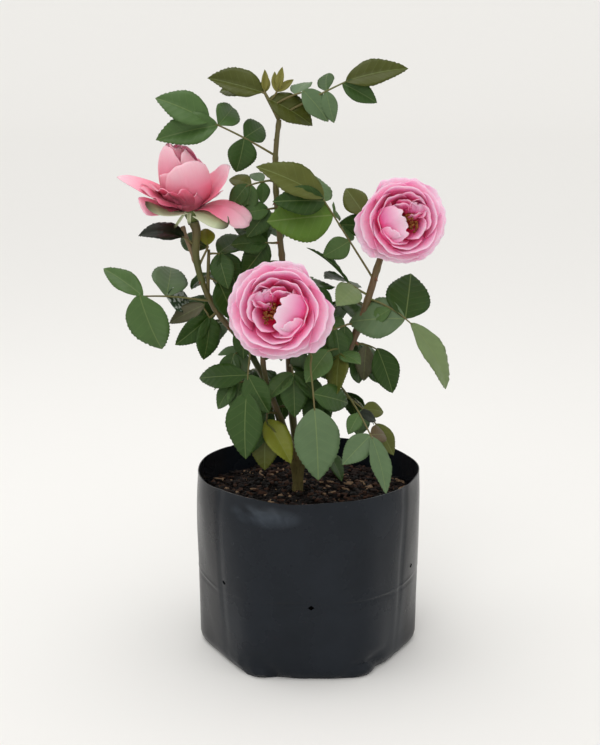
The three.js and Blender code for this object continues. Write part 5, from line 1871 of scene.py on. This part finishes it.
for name, (mirror, scale) in OPEN_SIZES.items():
    random = seeded(STAMEN_SEED)
    at, across, up, axis = bloom_axes(name)
    tuft = Gathering()
    for _ in range(STAMENS):
        turn = next(random) * 2 * math.pi
        spread = TUFT_REACH * math.sqrt(next(random))
        x = (TUFT_X + TUFT_WIDE * spread * math.cos(turn) + TUFT_LEAN * spread * math.sin(turn)) * mirror
        y = TUFT_Y + TUFT_TALL * spread * math.sin(turn)
        foot = at + (across * x * FOOT_SPREAD + up * y * FOOT_SPREAD + axis * THREAD_FOOT) * scale
        bow = at + (across * x * BOW_SPREAD + up * y + axis * THREAD_BOW) * scale
        head_x = x + HEAD_SHIFT * next(random)
        head = at + (across * head_x + up * y + axis * (HEAD_FROM + HEAD_RANGE * next(random))) * scale
        line = smooth_line([foot, bow, head], len(THREAD_RADII))
        points, faces = stem_mesh(line, THREAD_RADII, THREAD_SIDES)
        tuft.add(points, faces, [0] * len(faces))
        size = ANTHER_LEAST + ANTHER_RANGE * next(random)
        way = tumbled(random, lambda draw: ANTHER_NOD + draw)
        anthers = anther_template["points"] @ way * size + np.array(head[:])
        tuft.add(anthers, anther_template["faces"], [1] * len(anther_template["faces"]))
    piece = tuft.build(name + "_stamens", [thread, pollen])
    dress(piece, "petal")
print(STAMENS, "stamens in each open bloom")

# %% [markdown]
# A sepal is a green blade that ends in a dry brown tip, pale and downy on its face and greener along the
# rib of its back. The hip is smooth and green. Sepals are bent from the petal's grid, narrow and pointed.

# %% Sepal and hip finishes
SEPAL_TINTS = {"sepal_face": ("#b3bf94", "#d3dabb"), "sepal_back": ("#7a9150", "#c3cfa2")}
DRY_TIP = "#3c3a1e"

sepal_materials = []
for name, (rib, margin) in SEPAL_TINTS.items():
    material, shader = new_material(name, 0.6)
    add = partial(add_node, material)
    place = add("UVMap", uv_map="place").outputs[0]
    parts = add("SeparateXYZ", {0: place})
    middle = add("Math", {0: parts.outputs[0], 1: 0.5}, operation="SUBTRACT").outputs[0]
    spread = add("Math", {0: middle}, operation="ABSOLUTE").outputs[0]
    edge = add("MapRange", {0: spread, 1: 0.15, 2: 0.5}).outputs[0]
    sided = add("Mix", {0: edge, 6: linear(rib), 7: linear(margin)}).outputs[2]
    tip = add("MapRange", {0: parts.outputs[1], 1: 0.72, 2: 0.96}).outputs[0]
    coat = add("Mix", {0: tip, 6: sided, 7: linear(DRY_TIP)}).outputs[2]
    feed(material, shader, "Base Color", coat)
    sepal_materials.append(material)
hip_green = mottled("hip_green", 0.5, linear("#4b5a28"), linear("#67743a"), {"Scale": 90})
print(len(sepal_materials), "sepal finishes")

# %% Hips and sepals
HIP_RADII = (3.4, 5.4, 6.2, 5.6, 4.4)
HIP_SIDES = 16
SEPAL = dict(foot=3.5, base=-2, lip=-50, cup=-40, ruffle=0.4, notch=0.8)
# Each sepal: its turn, its lean at the claw and at the tip, its length and its half width.
SEPALS = {
    "bloom_front": [(20 + i * 72, (76, 108), 24, 5) for i in range(5)],
    "bloom_right": [(50 + i * 72, (76, 108), 22, 5) for i in range(5)],
    "bloom_left": [(302, (76, 58), 42, 10), (48, (112, 122), 36, 9), (338, (120, 160), 14, 1.8),
                   (276, (120, 140), 17, 1.8), (150, (90, 110), 26, 4)],
}

for name, sepals in SEPALS.items():
    axes = bloom_axes(name)
    at, _, _, axis = axes
    hip = Gathering()
    bands = len(HIP_RADII) - 1
    line = [at + axis * (-HIP_LENGTH + i * (HIP_LENGTH + 1) / bands) for i in range(bands + 1)]
    points, faces = stem_mesh(line, HIP_RADII, HIP_SIDES)
    hip.add(points, faces, [2] * len(faces))
    for turn, lean, length, half in sepals:
        side = math.copysign(1, math.sin(math.radians(turn)))
        row = {**SEPAL, "turn": turn, "lean": lean, "length": length, "half": half, "twist": side * half}
        points, places = lay_petal(axes, row, 1, 1.0)
        hip.add(points, petal_template["faces"], petal_template["finishes"], places)
    piece = hip.build(name + "_hip", [*sepal_materials, hip_green])
    dress(piece, "leaf")
print(len(SEPALS), "hips with sepals")

# %% [markdown]
# ## Measure and finish
# Both boxes, the model's and the dressed plant's, are printed side by side. The dressed plant has
# to stay within the model's box.

# %% Print both boxes and finish
visual_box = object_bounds()
for axis_name, *ends in zip("xyz", *cad_box, *visual_box):
    low, high, seen_low, seen_high = (round(end, 4) for end in ends)
    print(axis_name, "model", low, high, "dressed", seen_low, seen_high)
